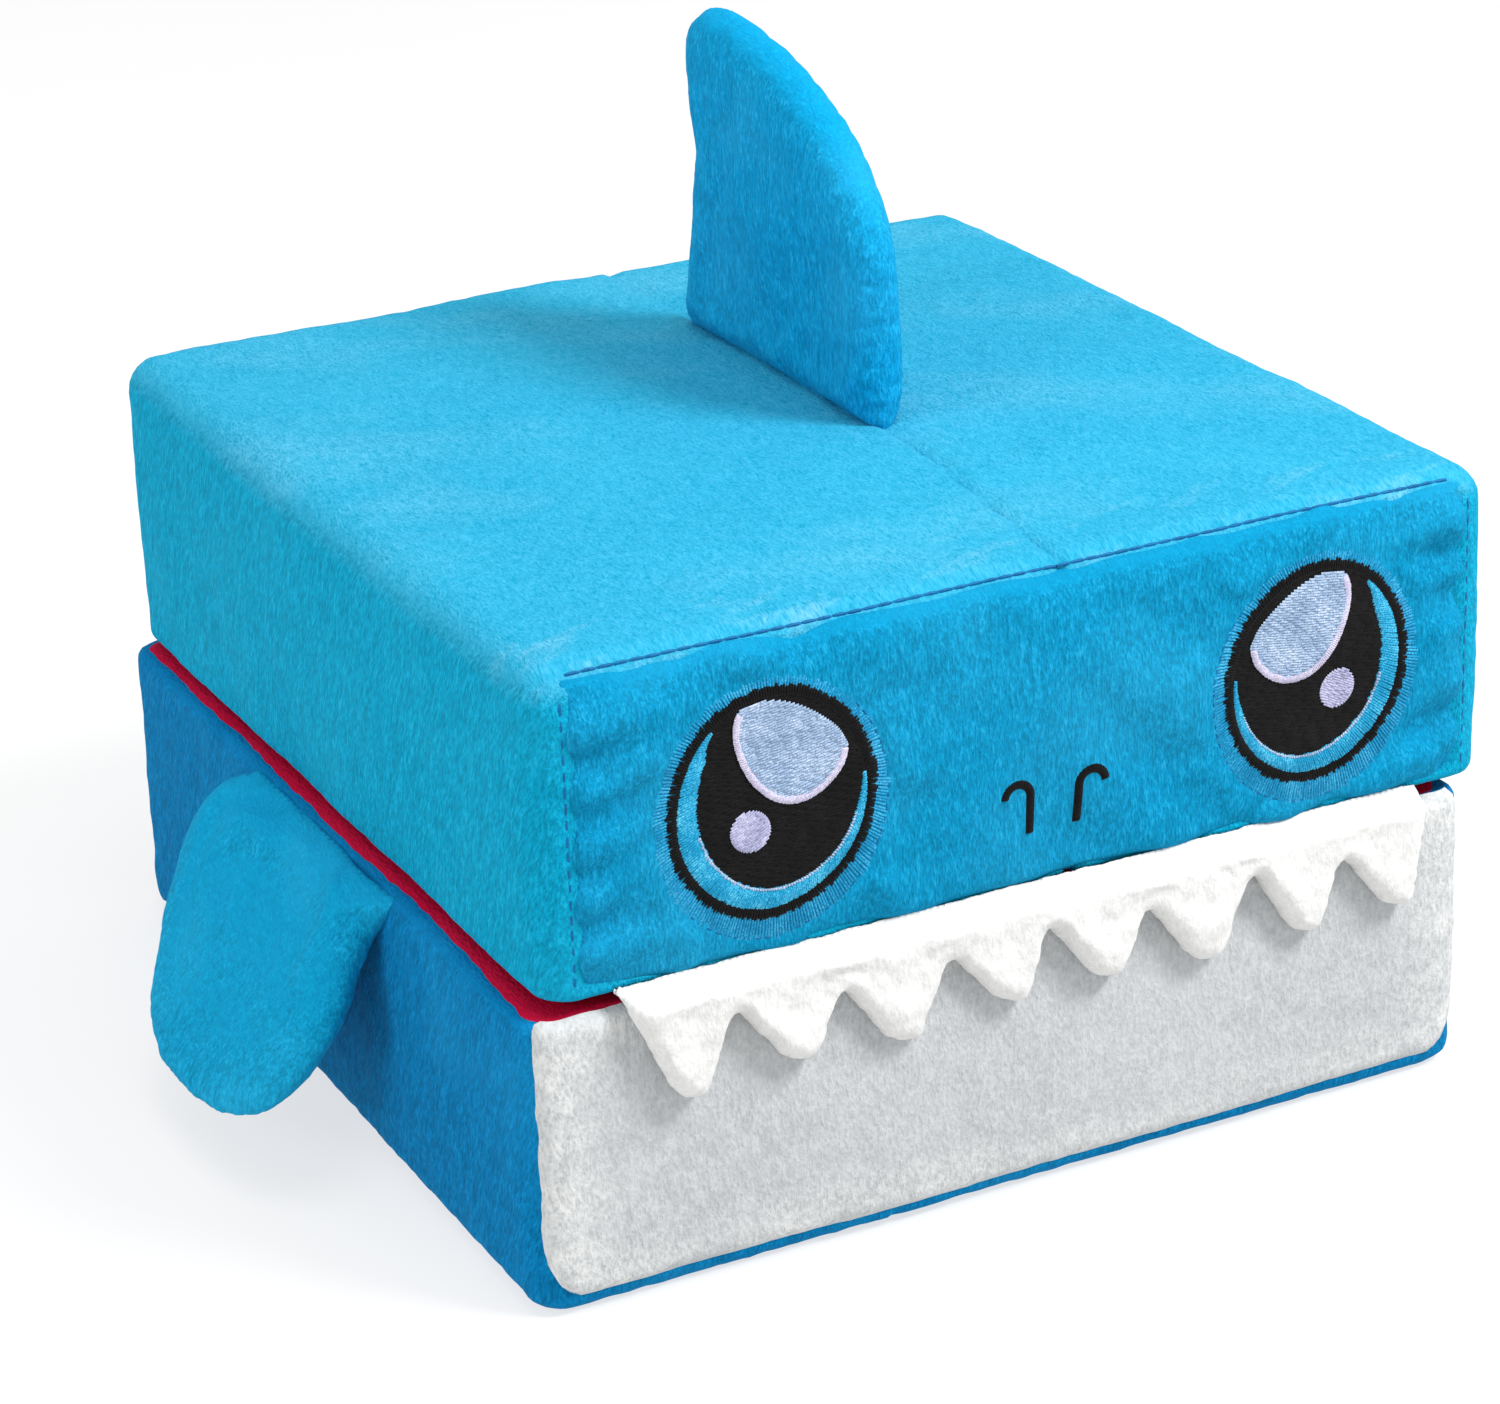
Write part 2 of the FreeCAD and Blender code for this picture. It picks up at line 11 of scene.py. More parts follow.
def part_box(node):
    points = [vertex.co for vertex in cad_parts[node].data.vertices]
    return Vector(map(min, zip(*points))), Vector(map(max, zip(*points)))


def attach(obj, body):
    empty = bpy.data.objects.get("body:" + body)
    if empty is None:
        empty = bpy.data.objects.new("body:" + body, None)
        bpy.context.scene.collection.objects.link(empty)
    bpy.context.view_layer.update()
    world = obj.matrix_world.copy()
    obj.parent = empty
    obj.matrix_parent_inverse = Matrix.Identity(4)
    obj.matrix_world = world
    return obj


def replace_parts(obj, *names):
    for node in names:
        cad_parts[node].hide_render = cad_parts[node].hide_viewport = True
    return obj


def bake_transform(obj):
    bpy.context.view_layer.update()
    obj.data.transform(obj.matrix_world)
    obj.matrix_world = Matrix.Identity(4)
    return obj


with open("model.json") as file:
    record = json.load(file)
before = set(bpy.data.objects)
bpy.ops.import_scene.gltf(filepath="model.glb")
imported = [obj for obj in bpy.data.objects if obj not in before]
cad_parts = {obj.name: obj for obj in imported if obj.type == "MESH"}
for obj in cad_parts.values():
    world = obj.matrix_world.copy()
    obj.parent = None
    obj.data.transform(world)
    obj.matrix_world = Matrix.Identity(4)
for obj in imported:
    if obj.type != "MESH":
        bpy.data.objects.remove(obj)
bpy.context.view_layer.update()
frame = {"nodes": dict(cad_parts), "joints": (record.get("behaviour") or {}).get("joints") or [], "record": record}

MM = 0.001


# ---------------------------------------------------------------- sizes from the frame

def span(*nodes):
    """Lowest and highest corner of several CAD nodes."""
    lows, highs = zip(*(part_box(node) for node in nodes))
    return np.min(lows, axis=0), np.max(highs, axis=0)


def joint(name):
    return next(item for item in frame["joints"] if item["name"] == name)


LID_LOW, LID_HIGH = span("lid_cover_left", "lid_cover_right", "lid_lining")
BASE_LOW, BASE_HIGH = span("base_cover_bottom", "base_cover_left", "base_cover_right", "base_lining")
LID_X = (LID_LOW[0] + LID_HIGH[0]) / 2
HALF = (BASE_HIGH[:2] - BASE_LOW[:2]) / 2
FIN_LOW, FIN_HIGH = span("dorsal_fin_left_cover", "dorsal_fin_right_cover")
FIN_X = (FIN_LOW[0] + FIN_HIGH[0]) / 2
SIDES = (("left", -1), ("right", 1))

# The hollow inside, between the lining's own thickness on the foam floor and ceiling.
LINING = 3 * MM
CAVITY_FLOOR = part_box("base_foam_flat")[1].z + LINING
CAVITY_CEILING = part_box("lid_foam_flat")[0].z - LINING
CAVITY_HALF = HALF - 21 * MM

# Roundings of the upright corners, of the closed ends' edges, and of the lip round the mouth.
CORNER = 9 * MM
EDGE = 9 * MM
BASE_EDGE = 6 * MM
LIP = 3 * MM
# How far the pile stands up from the cloth, on top and where the two halves rest on each other.
PILE = 2 * MM
MOUTH_PILE = 0.6 * MM
# How far the stuffing crowns the sides and the top, and how far the base's front corners stand open.
SIDE_CROWN = 2.2 * MM
TOP_CROWN = 2.0 * MM
SAG = BASE_HIGH[2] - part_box("base_foam_front")[1].z - 1.0 * MM
# Mesh spacing, and the number of cells round a corner.
CELL = 2.2 * MM
ARC_CELLS = 6

# The eyes, and the halo of thread round each one.
OUTLINE_LOW, OUTLINE_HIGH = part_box("eye_left_outline")
EYES_LOW, EYES_HIGH = span("eye_left_outline", "eye_right_outline")
NOSE_X = (EYES_LOW[0] + EYES_HIGH[0]) / 2
EYE_SPREAD = NOSE_X - (OUTLINE_LOW.x + OUTLINE_HIGH.x) / 2
EYE_HEIGHT = (OUTLINE_LOW.z + OUTLINE_HIGH.z) / 2
EYE_SIZE = np.array([OUTLINE_HIGH.x - OUTLINE_LOW.x, OUTLINE_HIGH.z - OUTLINE_LOW.z]) / 2
HALO_SIZE = EYE_SIZE + [3.2 * MM, 3.8 * MM]
HALO_DROP = 1.4 * MM


# ---------------------------------------------------------------- meshes

def smooth_step(value):
    value = np.clip(value, 0, 1)
    return value * value * (3 - 2 * value)


def ripple(points, size, seed):
    """Smooth noise from -1 to 1 at each point, with lumps of about a given size."""
    shift = Vector((seed * 7.3, seed * 3.1, seed * 5.7))
    return np.array([noise.noise(Vector(p) / size + shift) for p in points])


def grid_faces(rows, columns, first=0):
    """The quads of a grid whose points are numbered along its rows from first on."""
    wide = columns + 1
    corners = (first + j * wide + i for j in range(rows) for i in range(columns))
    return [(at, at + 1, at + wide + 1, at + wide) for at in corners]


def lengths_along(line):
    """Length from the start of a line to each of its points."""
    return np.concatenate([[0], np.cumsum(np.linalg.norm(np.diff(line, axis=0), axis=1))])


def mesh_piece(name, points, faces, body, slot):
    """A smooth-shaded piece that rides on a body and takes its look from a slot."""
    mesh = bpy.data.meshes.new(name)
    mesh.from_pydata(np.asarray(points).tolist(), [], [tuple(int(i) for i in face) for face in faces])
    mesh.polygons.foreach_set("use_smooth", [True] * len(mesh.polygons))
    mesh.materials.append(LOOKS[slot])
    piece = bpy.data.objects.new(name, mesh)
    bpy.context.scene.collection.objects.link(piece)
    if body:
        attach(piece, body)
    return piece


def tidied(points, faces):
    """The same surface with doubled points merged and collapsed faces dropped, and its normals."""
    mesh = bpy.data.meshes.new("tidied")
    mesh.from_pydata(points.tolist(), [], faces)
    shape = bmesh.new()
    shape.from_mesh(mesh)
    bmesh.ops.remove_doubles(shape, verts=shape.verts, dist=0.02 * MM)
    shape.to_mesh(mesh)
    shape.free()
    merged = np.array([vertex.co for vertex in mesh.vertices])
    normals = np.array([normal.vector for normal in mesh.vertex_normals])
    kept = [tuple(polygon.vertices) for polygon in mesh.polygons]
    bpy.data.meshes.remove(mesh)
    return merged, kept, normals


def piece_of(points, faces, kept):
    """The faces marked as kept, with only their own points."""
    chosen = [face for face, mark in zip(faces, kept) if mark]
    used = sorted({index for face in chosen for index in face})
    place = {old: new for new, old in enumerate(used)}
    return points[used], [tuple(place[index] for index in face) for face in chosen]


def smoothed(piece):
    """One step of subdivision, applied. Returns the points and normals of the finer mesh."""
    modifier = piece.modifiers.new("smooth", "SUBSURF")
    modifier.levels = modifier.render_levels = 1
    shape = bpy.data.meshes.new_from_object(piece.evaluated_get(bpy.context.evaluated_depsgraph_get()))
    piece.modifiers.clear()
    piece.data = shape
    shape.polygons.foreach_set("use_smooth", [True] * len(shape.polygons))
    points = np.array([vertex.co for vertex in shape.vertices])
    return points, np.array([normal.vector for normal in shape.vertex_normals])


# ---------------------------------------------------------------- the two soft halves

def grid_lines(run):
    """Even coordinates across and along a rectangle of a given half size, the same number at every size."""
    cells = np.round(2 * HALF / CELL).astype(int)
    return [np.linspace(-reach, reach, count + 1) for reach, count in zip(run, cells)]


def ring(half, inset, corner):
    """One loop round a rounded rectangle, with the same number of points at every size."""
    run = half - inset - corner
    xs, ys = grid_lines(run)
    turn = np.linspace(0, math.pi / 2, ARC_CELLS + 1)[1:-1]
    out, along = corner * np.sin(turn), corner * np.cos(turn)
    sides = [
        (xs, np.full(len(xs), -run[1] - corner)), (run[0] + out, -run[1] - along),
        (np.full(len(ys), run[0] + corner), ys), (run[0] + along, run[1] + out),
        (xs[::-1], np.full(len(xs), run[1] + corner)), (-run[0] - out, run[1] + along),
        (np.full(len(ys), -run[0] - corner), ys[::-1]), (-run[0] - along, -run[1] - out),
    ]
    return np.concatenate([np.stack(side, axis=1) for side in sides])


def shell(half, centre_x, rows, flipped):
    """A box-like skin: rings at (inset, height, corner) rows, and a grid across the last one."""
    loops = []
    for inset, height, corner in rows:
        loop = ring(half, inset, corner)
        loops.append(np.column_stack([loop, np.full(len(loop), height)]))
    count = len(loops[0])
    faces = [
        (r * count + i, r * count + (i + 1) % count, (r + 1) * count + (i + 1) % count, (r + 1) * count + i)
        for r in range(len(rows) - 1)
        for i in range(count)
    ]
    inset, height, corner = rows[-1]
    xs, ys = grid_lines(half - inset - corner)
    grid = np.array([(x, y, height) for y in ys for x in xs])
    faces += grid_faces(len(ys) - 1, len(xs) - 1, len(rows) * count)
    points = np.concatenate([*loops, grid]) + [centre_x, 0, 0]
    if flipped:
        faces = [face[::-1] for face in faces]
    return tidied(points, faces)


class Half:
    """One half of the body: its box, and the outline of its wall from the mouth's lip to the closed end."""

    def __init__(self, body, centre_x, mouth, closed, edge):
        self.body, self.centre_x, self.mouth, self.closed, self.edge = body, centre_x, mouth, closed, edge
        self.way = 1 if closed > mouth else -1
        self.height = abs(closed - mouth)
        self.lip_run = LIP * math.pi / 2
        self.wall_run = self.height - LIP - edge
        self.run = self.lip_run + self.wall_run + edge * math.pi / 2

    def wall(self, run):
        """Inset, height, and the outward and upward parts of the normal, at a length along the wall."""
        if run < self.lip_run:
            turn = run / LIP
            inset, rise = LIP * (1 - math.sin(turn)), LIP * (1 - math.cos(turn))
            normal = (math.sin(turn), -math.cos(turn))
        elif run < self.lip_run + self.wall_run:
            inset, rise, normal = 0, LIP + run - self.lip_run, (1, 0)
        else:
            turn = (run - self.lip_run - self.wall_run) / self.edge
            inset, rise = self.edge * (1 - math.cos(turn)), self.height - self.edge * (1 - math.sin(turn))
            normal = (math.cos(turn), math.sin(turn))
        return inset, self.mouth + self.way * rise, normal[0], self.way * normal[1]

    def rows(self):
        """The rows of its skin, from inside the mouth's lip to the flat closed end."""
        top = self.lip_run + self.wall_run
        steps = np.concatenate([
            np.linspace(0, self.lip_run, 5)[:-1],
            np.linspace(self.lip_run, top, int(self.wall_run / CELL) + 1),
            np.linspace(top, self.run, 7)[1:],
        ])
        tucked = (LIP + 4 * MM, self.mouth + self.way * 0.6 * MM, CORNER / 2)
        rows = [(inset, height, CORNER - min(inset, CORNER)) for inset, height, _, _ in map(self.wall, steps)]
        return [tucked, *rows[:-1], (self.edge, self.closed, 0)]

    def front(self, across, run):
        """Points and normals on the front wall, going round the corners where it passes the flat part."""
        inset, height, out, up = (np.array(column) for column in zip(*map(self.wall, run)))
        flat = HALF[0] - CORNER
        turn = np.clip((np.abs(across) - flat) / CORNER, 0, math.pi / 2)
        reach = CORNER - inset
        side = np.sign(across)
        x = np.clip(across, -flat, flat) + side * reach * np.sin(turn) + self.centre_x
        y = -(HALF[1] - CORNER) - reach * np.cos(turn)
        normal = np.stack([side * out * np.sin(turn), -out * np.cos(turn), up], axis=1)
        return np.stack([x, y, height], axis=1), normal

    def swell(self, points, normals):
        """How far the stuffing pushes the cloth out: a soft crown on each wall, and slight unevenness."""
        middle = (self.mouth + self.closed) / 2
        across, deep = (points[:, 0] - self.centre_x) / HALF[0], points[:, 1] / HALF[1]
        tall = (points[:, 2] - middle) / (self.height / 2)
        keep = [np.clip(1 - share**2, 0, 1) for share in (across, deep, tall)]
        side = normals[:, 0] ** 2 * keep[1] * keep[2] + normals[:, 1] ** 2 * keep[0] * keep[2]
        flat = normals[:, 2] ** 2 * keep[0] * keep[1]
        lumps = 0.7 * ripple(points, 46 * MM, self.way + 2) + 0.28 * ripple(points, 15 * MM, self.way + 5)
        resting = normals[:, 2] < -0.5 if self.way < 0 else np.zeros(len(points), bool)
        return np.where(resting, 0, (SIDE_CROWN * side + TOP_CROWN * flat) + lumps * MM)

    def settled(self, points):
        """The base's mouth stands a little open at the front corners. The lid keeps its shape."""
        if self.way > 0:
            return points
        near = smooth_step((-points[:, 1] / HALF[1] - 0.45) / 0.5)
        high = smooth_step((points[:, 2] / BASE_HIGH[2] - 0.6) / 0.4)
        return points - np.array([0, 0, 1]) * (SAG * near * high)[:, None]


LID = Half("lid", LID_X, LID_LOW[2] - MOUTH_PILE, LID_HIGH[2] + PILE, EDGE)
BASE = Half("base", 0.0, BASE_HIGH[2] + MOUTH_PILE, BASE_LOW[2], BASE_EDGE)


# ---------------------------------------------------------------- materials

NO_TURN = (0, 0, 0)
SLANT = (math.radians(24), 0, 0)
# Noise grain as (detail, roughness): of strands of pile, and of broad or soft-edged patches.
STRAND_GRAIN = (2.0, 0.65)
BROAD_GRAIN = (2.0, 0.5)
SHARP_GRAIN = (3.0, 0.6)
# Clumps of pile: their size against a strand's, and how much they add to the shading.
CLUMP_SIZE = 3.0
CLUMP_SHARE = 0.55
# Level cloth: the upward part of the normal where it begins and is complete, and how much its pile
# fades to an even tone.
LEVEL_CLOTH = (0.45, 0.8)
CALM_SHARE = 0.6
CALM_LEVEL = 0.84
# Levels of the shading from between the strands to their sides, and from there to their tips.
GROUND = (0.60, 0.92)
TIPS = (0.86, 1.12)
TIP_SHARE = 0.4
# Levels of the noise where the nap turns, and of the strands that stand up and take the pale colour where the nap
# is raised by brushing and where a sheen is painted on the lid's top.
NAP_TURNS = (0.46, 0.72)
RAISED = (0.5, 0.95)
# The pale colour of pile raised by brushing. It also paints the sheen on the lid's top.
PALE_NAP_AND_SHEEN = (0.42, 0.66, 0.78, 1)


def srgb(red, green, blue):
    """Linear colour from the everyday 0 to 255 values."""
    channels = (red, green, blue)
    return tuple(((v / 255 + 0.055) / 1.055) ** 2.4 if v > 10 else v / 255 / 12.92 for v in channels) + (1,)


def darker(colour, share):
    return tuple(channel * share for channel in colour[:3]) + (1,)


class Finish:
    """A material being made: its nodes, its shader, and the place and normal that they start from."""

    def __init__(self, name):
        self.material = bpy.data.materials.new(name)
        self.material.use_nodes = True
        self.tree = self.material.node_tree
        self.shader = self.tree.nodes["Principled BSDF"]
        source = self.node("ShaderNodeTexCoord")
        self.place, self.normal = source.outputs["Object"], source.outputs["Normal"]

    def feed(self, socket, value):
        """Links a socket to another node's output, or sets it to a constant."""
        if isinstance(value, bpy.types.NodeSocket):
            self.tree.links.new(value, socket)
        else:
            socket.default_value = value

    def node(self, kind, inputs=None, **settings):
        made = self.tree.nodes.new(kind)
        for key, value in settings.items():
            setattr(made, key, value)
        for key, value in (inputs or {}).items():
            self.feed(made.inputs[key], value)
        return made

    def math(self, operation, *values):
        return self.node("ShaderNodeMath", dict(enumerate(values)), operation=operation).outputs[0]

    def times(self, first, second):
        return self.math("MULTIPLY", first, second)

    def levels(self, value, low, high):
        """Stretches a value so that low comes to 0 and high to 1."""
        return self.node("ShaderNodeMapRange", {"Value": value, "From Min": low, "From Max": high}).outputs[0]

    def between(self, value, low, high):
        """Stretches a value from 0 to 1 so that it runs from low to high."""
        return self.node("ShaderNodeMapRange", {"Value": value, "To Min": low, "To Max": high}).outputs[0]

    def mix(self, factor, first, second):
        return self.node("ShaderNodeMix", {0: factor, 6: first, 7: second}, data_type="RGBA").outputs[2]

    def mix_values(self, factor, first, second):
        return self.node("ShaderNodeMix", {0: factor, 2: first, 3: second}, data_type="FLOAT").outputs[0]

    def parts(self, vector):
        return self.node("ShaderNodeSeparateXYZ", {0: vector}).outputs

    def spotted(self, stretch, turn, detail, rough):
        """Noise whose spots have a size in metres along each axis, after a turn."""
        turned = {"Vector": self.place, "Rotation": turn, "Scale": stretch}
        mapping = self.node("ShaderNodeMapping", turned, vector_type="TEXTURE")
        grain = {"Vector": mapping.outputs[0], "Scale": 1.0, "Detail": detail, "Roughness": rough}
        return self.node("ShaderNodeTexNoise", grain).outputs["Fac"]

    def relief(self, height, strength, distance):
        inputs = {"Height": height, "Strength": strength, "Distance": distance}
        self.feed(self.shader.inputs["Normal"], self.node("ShaderNodeBump", inputs).outputs[0])

    def done(self, **values):
        """Sets the shader's sockets, named with underscores for spaces, and returns the material."""
        for name, value in values.items():
            self.feed(self.shader.inputs[name.replace("_", " ")], value)
        return self.material


def plush(name, main, tip, lay, turn=NO_TURN, nap=0.15, depth=0.6, patch=38.0, deep=0.66, nap_and_sheen_mask=None,
          pale=PALE_NAP_AND_SHEEN):
    """Short pile: fine strands that lie one way, small clumps, and broad patches where the nap turns.

    main and tip are the colours of the pile and of its tips; lay is a strand's width and length in mm;
    deep is how dark it is between the strands; patch is the size in mm of the broad patches.
    The pale mask maker, if given, marks two kinds of place: where the nap is raised by brushing, and on the lid's
    top where a sheen is painted. There the pile has the pale colour.
    """
    finish = Finish(name)
    main, tip = srgb(*main), srgb(*tip)
    width, length = (size * MM for size in lay)
    flat = finish.levels(finish.math("ABSOLUTE", finish.parts(finish.normal)[2]), *LEVEL_CLOTH)

    def lying(size):
        """Strands that hang down upright cloth and lie along level cloth."""
        upright = finish.spotted((width * size, width * size, length * size), turn, *STRAND_GRAIN)
        level = finish.spotted((width * size, length * size, width * size), turn, *STRAND_GRAIN)
        return finish.mix_values(flat, upright, level)

    clumps = lying(CLUMP_SIZE)
    both = finish.math("ADD", lying(1.0), finish.times(clumps, CLUMP_SHARE))
    calm = finish.between(flat, 0.0, CALM_SHARE)
    wild = finish.math("SUBTRACT", 1.0, calm)
    shading = finish.math("ADD", finish.times(both, wild), finish.times(calm, CALM_LEVEL))
    ground = finish.mix(finish.levels(shading, *GROUND), darker(main, deep), darker(main, 1.06))
    tipped = finish.mix(finish.times(finish.levels(shading, *TIPS), TIP_SHARE), ground, tip)
    broad = finish.spotted((patch * MM,) * 3, NO_TURN, *BROAD_GRAIN)
    colour = finish.mix(finish.times(finish.levels(broad, *NAP_TURNS), nap), tipped, tip)
    # Pale pile where the nap is raised by brushing, and on the lid's top a painted sheen.
    if nap_and_sheen_mask:
        colour = finish.mix(finish.times(nap_and_sheen_mask(finish), finish.levels(both, *RAISED)), colour, pale)
    finish.relief(both, depth, 0.7 * MM)
    return finish.done(
        Base_Color=colour,
        Roughness=finish.between(clumps, 0.8, 0.95),
        Specular_IOR_Level=0.04,
        Sheen_Weight=0.07,
        Sheen_Roughness=0.4,
        Sheen_Tint=tip,
    )


def lid_top_nap_and_sheen(finish):
    """Pale patches on the lid's top: nap raised by brushing, strong along its front edge, and faint on the rest,
    where a painted sheen lightens the whole top.
    """
    _, depth, height = finish.parts(finish.place)
    top = finish.levels(height, LID_HIGH[2] - 6 * MM, LID_HIGH[2] - 1 * MM)
    near = finish.levels(depth, -0.55 * HALF[1], -0.95 * HALF[1])
    spots = finish.levels(finish.spotted((26 * MM, 9 * MM, 26 * MM), (0, 0, 0.3), *SHARP_GRAIN), 0.45, 0.7)
    faint = finish.levels(finish.spotted((60 * MM, 34 * MM, 60 * MM), (0, 0, -0.5), *BROAD_GRAIN), 0.5, 0.72)
    strong = finish.times(finish.times(near, spots), 0.32)
    # The faint part never drops below a 0.09 share: a painted sheen over the whole top.
    return finish.times(finish.math("MAXIMUM", strong, finish.between(faint, 0.09, 0.18)), top)


def brushed_edges(finish):
    """Paler pile round the border of the grey panel."""
    across, _, height = finish.parts(finish.place)
    ends = finish.levels(finish.math("ABSOLUTE", across), HALF[0] - 24 * MM, HALF[0] - 8 * MM)
    foot = finish.levels(height, 20 * MM, 6 * MM)
    head = finish.levels(height, BASE_HIGH[2] - 14 * MM, BASE_HIGH[2] - 4 * MM)
    border = finish.math("MAXIMUM", finish.math("MAXIMUM", foot, head), ends)
    broken = finish.levels(finish.spotted((30 * MM, 30 * MM, 12 * MM), NO_TURN, *BROAD_GRAIN), 0.3, 0.6)
    return finish.times(finish.times(border, broken), 0.6)


def thread(name, main, glint, shine=0.4):
    """Twisted embroidery thread: satin, with each strand a little lighter or darker."""
    finish = Finish(name)
    main = srgb(*main)
    strand = finish.spotted((0.45 * MM,) * 3, NO_TURN, 2.0, 0.6)
    run = finish.spotted((7 * MM,) * 3, NO_TURN, *BROAD_GRAIN)
    mixed = finish.math("ADD", strand, finish.times(run, 0.6))
    ground = finish.mix(finish.levels(mixed, 0.6, 0.85), darker(main, 0.7), darker(main, 1.05))
    colour = finish.mix(finish.times(finish.levels(mixed, 0.8, 1.05), 0.7), ground, srgb(*glint))
    finish.relief(strand, 0.3, 0.1 * MM)
    return finish.done(Base_Color=colour, Roughness=shine, Specular_IOR_Level=0.12, Sheen_Weight=0.03)


def foam(name, shade, main):
    """Open-cell foam: small pores."""
    finish = Finish(name)
    pores = finish.node("ShaderNodeTexVoronoi", {"Vector": finish.place, "Scale": 700.0}).outputs["Distance"]
    finish.relief(pores, 0.5, 0.5 * MM)
    colour = finish.mix(finish.levels(pores, 0.1, 0.6), srgb(*shade), srgb(*main))
    return finish.done(Base_Color=colour, Roughness=0.95)


PLUSHES = {
    "lid_plush": dict(main=(8, 155, 194), tip=(56, 184, 216), lay=(0.6, 2.4), turn=SLANT, nap=0.1,
                      depth=0.9, nap_and_sheen_mask=lid_top_nap_and_sheen),
    # face_plush is darker than lid_plush: painted shade that offsets the stronger light on the front.
    "face_plush": dict(main=(10, 138, 183), tip=(64, 174, 210), lay=(0.6, 2.0), nap=0.12, depth=0.8),
    "base_plush": dict(main=(4, 117, 172), tip=(36, 152, 204), lay=(0.7, 2.6), turn=SLANT, nap=0.2,
                       depth=0.9),
    "dorsal_plush": dict(main=(9, 150, 201), tip=(76, 192, 229), lay=(0.6, 2.0), nap=0.12),
    "pectoral_plush": dict(main=(12, 150, 195), tip=(62, 184, 222), lay=(0.6, 2.6), turn=SLANT),
    "belly_plush": dict(main=(180, 183, 185), tip=(198, 200, 201), lay=(0.9, 1.8), nap=0.2, depth=0.7,
                        patch=24.0, deep=0.86, nap_and_sheen_mask=brushed_edges, pale=srgb(222, 222, 219)),
    "teeth_plush": dict(main=(212, 212, 210), tip=(222, 222, 221), lay=(0.9, 2.0), depth=0.5, deep=0.93),
    "mouth_plush": dict(main=(182, 12, 52), tip=(206, 52, 86), lay=(0.8, 2.0), depth=0.9),
}
FOAMS = {
    "filling": dict(shade=(225, 225, 225), main=(248, 248, 248)),
    "foam": dict(shade=(214, 208, 190), main=(240, 236, 222)),
}
THREADS = {
    "black_thread": dict(main=(9, 8, 9), glint=(24, 23, 26), shine=0.75),
    "blue_thread": dict(main=(14, 134, 180), glint=(84, 184, 216)),
    "blue_thread_dark": dict(main=(6, 94, 146), glint=(14, 112, 166)),
    "bright_thread": dict(main=(18, 146, 190), glint=(112, 206, 226)),
    "sky_thread": dict(main=(140, 164, 194), glint=(206, 214, 224)),
    "lilac_thread": dict(main=(190, 184, 208), glint=(216, 212, 224)),
    "pale_thread": dict(main=(164, 164, 196), glint=(206, 206, 222)),
}
LOOKS = {
    name: make(name, **style)
    for make, styles in ((plush, PLUSHES), (foam, FOAMS), (thread, THREADS))
    for name, style in styles.items()
}


def dress_frame():
    """Every CAD node takes the look of its slot, so that none is ever plain."""
    slots = {item["node"]: item["material_slot"] for item in frame["record"]["subparts"]}
    for name, thing in frame["nodes"].items():
        thing.data.materials.clear()
        thing.data.materials.append(LOOKS[slots[name]])


# ---------------------------------------------------------------- camera, light and floor

CAMERA_AT = Vector((-443.8, -894.5, 500.3)) * MM
CAMERA_AZIMUTH, CAMERA_ELEVATION, CAMERA_ROLL = (math.radians(a) for a in (-26.21, 22.94, -2.10))
LENS = 102.27
VIEW_REACH = 20

# Broad lamps: place, diameter and power. All of them face the middle of the body.
LAMPS = {
    "key": ((0.8, -0.95, 1.4), 0.6, 32),
    "top": ((-0.1, -0.3, 1.75), 0.7, 6.5),
    "left": ((-1.6, -0.3, 0.8), 0.8, 9),
}
LAMP_AIM = Vector((0, 0, 0.1))
SURROUND = 0.74
WHITE = (1, 1, 1, 1)
# The floor is a dull grey with a glow of its own, so that it is white but throws little light upward.
FLOOR_GREYS = ((0.26, 0.26, 0.262, 1), (0.28, 0.28, 0.28, 1))
FLOOR_GLOW = 0.68
FLOOR_REACH = 4.0
FLOOR_GRAIN = 0.4


def make_camera():
    """Looks down on the front left corner, a little rolled."""
    level = math.cos(CAMERA_ELEVATION)
    side, ahead = math.sin(CAMERA_AZIMUTH), math.cos(CAMERA_AZIMUTH)
    back = Vector((side * level, -ahead * level, math.sin(CAMERA_ELEVATION)))
    right = Vector((ahead, side, 0))
    facing = Matrix((right, back.cross(right), back)).transposed()
    turn = Matrix.Rotation(CAMERA_ROLL, 3, "Z")
    data = bpy.data.cameras.new("camera")
    data.lens = LENS
    data.clip_end = VIEW_REACH
    camera = bpy.data.objects.new("camera", data)
    camera.matrix_world = Matrix.Translation(CAMERA_AT) @ (facing @ turn).to_4x4()
    bpy.context.scene.collection.objects.link(camera)
    bpy.context.scene.camera = camera


def make_lamp(name, at, size, power):
    data = bpy.data.lights.new(name, "AREA")
    data.shape, data.size, data.energy = "DISK", size, power
    lamp = bpy.data.objects.new(name, data)
    lamp.location = at
    lamp.rotation_euler = (LAMP_AIM - Vector(at)).to_track_quat("-Z", "Y").to_euler()
    bpy.context.scene.collection.objects.link(lamp)


def make_floor():
    finish = Finish("floor")
    grain = finish.spotted((FLOOR_GRAIN,) * 3, NO_TURN, 1.0, 0.5)
    mesh = bpy.data.meshes.new("floor")
    corners = [(x * FLOOR_REACH, y * FLOOR_REACH, 0) for x, y in ((-1, -1), (1, -1), (1, 1), (-1, 1))]
    mesh.from_pydata(corners, [], [(0, 1, 2, 3)])
    mesh.materials.append(finish.done(
        Base_Color=finish.mix(grain, *FLOOR_GREYS), Roughness=0.9, Specular_IOR_Level=0.0,
        Emission_Color=WHITE, Emission_Strength=FLOOR_GLOW,
    ))
    floor = bpy.data.objects.new("floor", mesh)
    bpy.context.scene.collection.objects.link(floor)


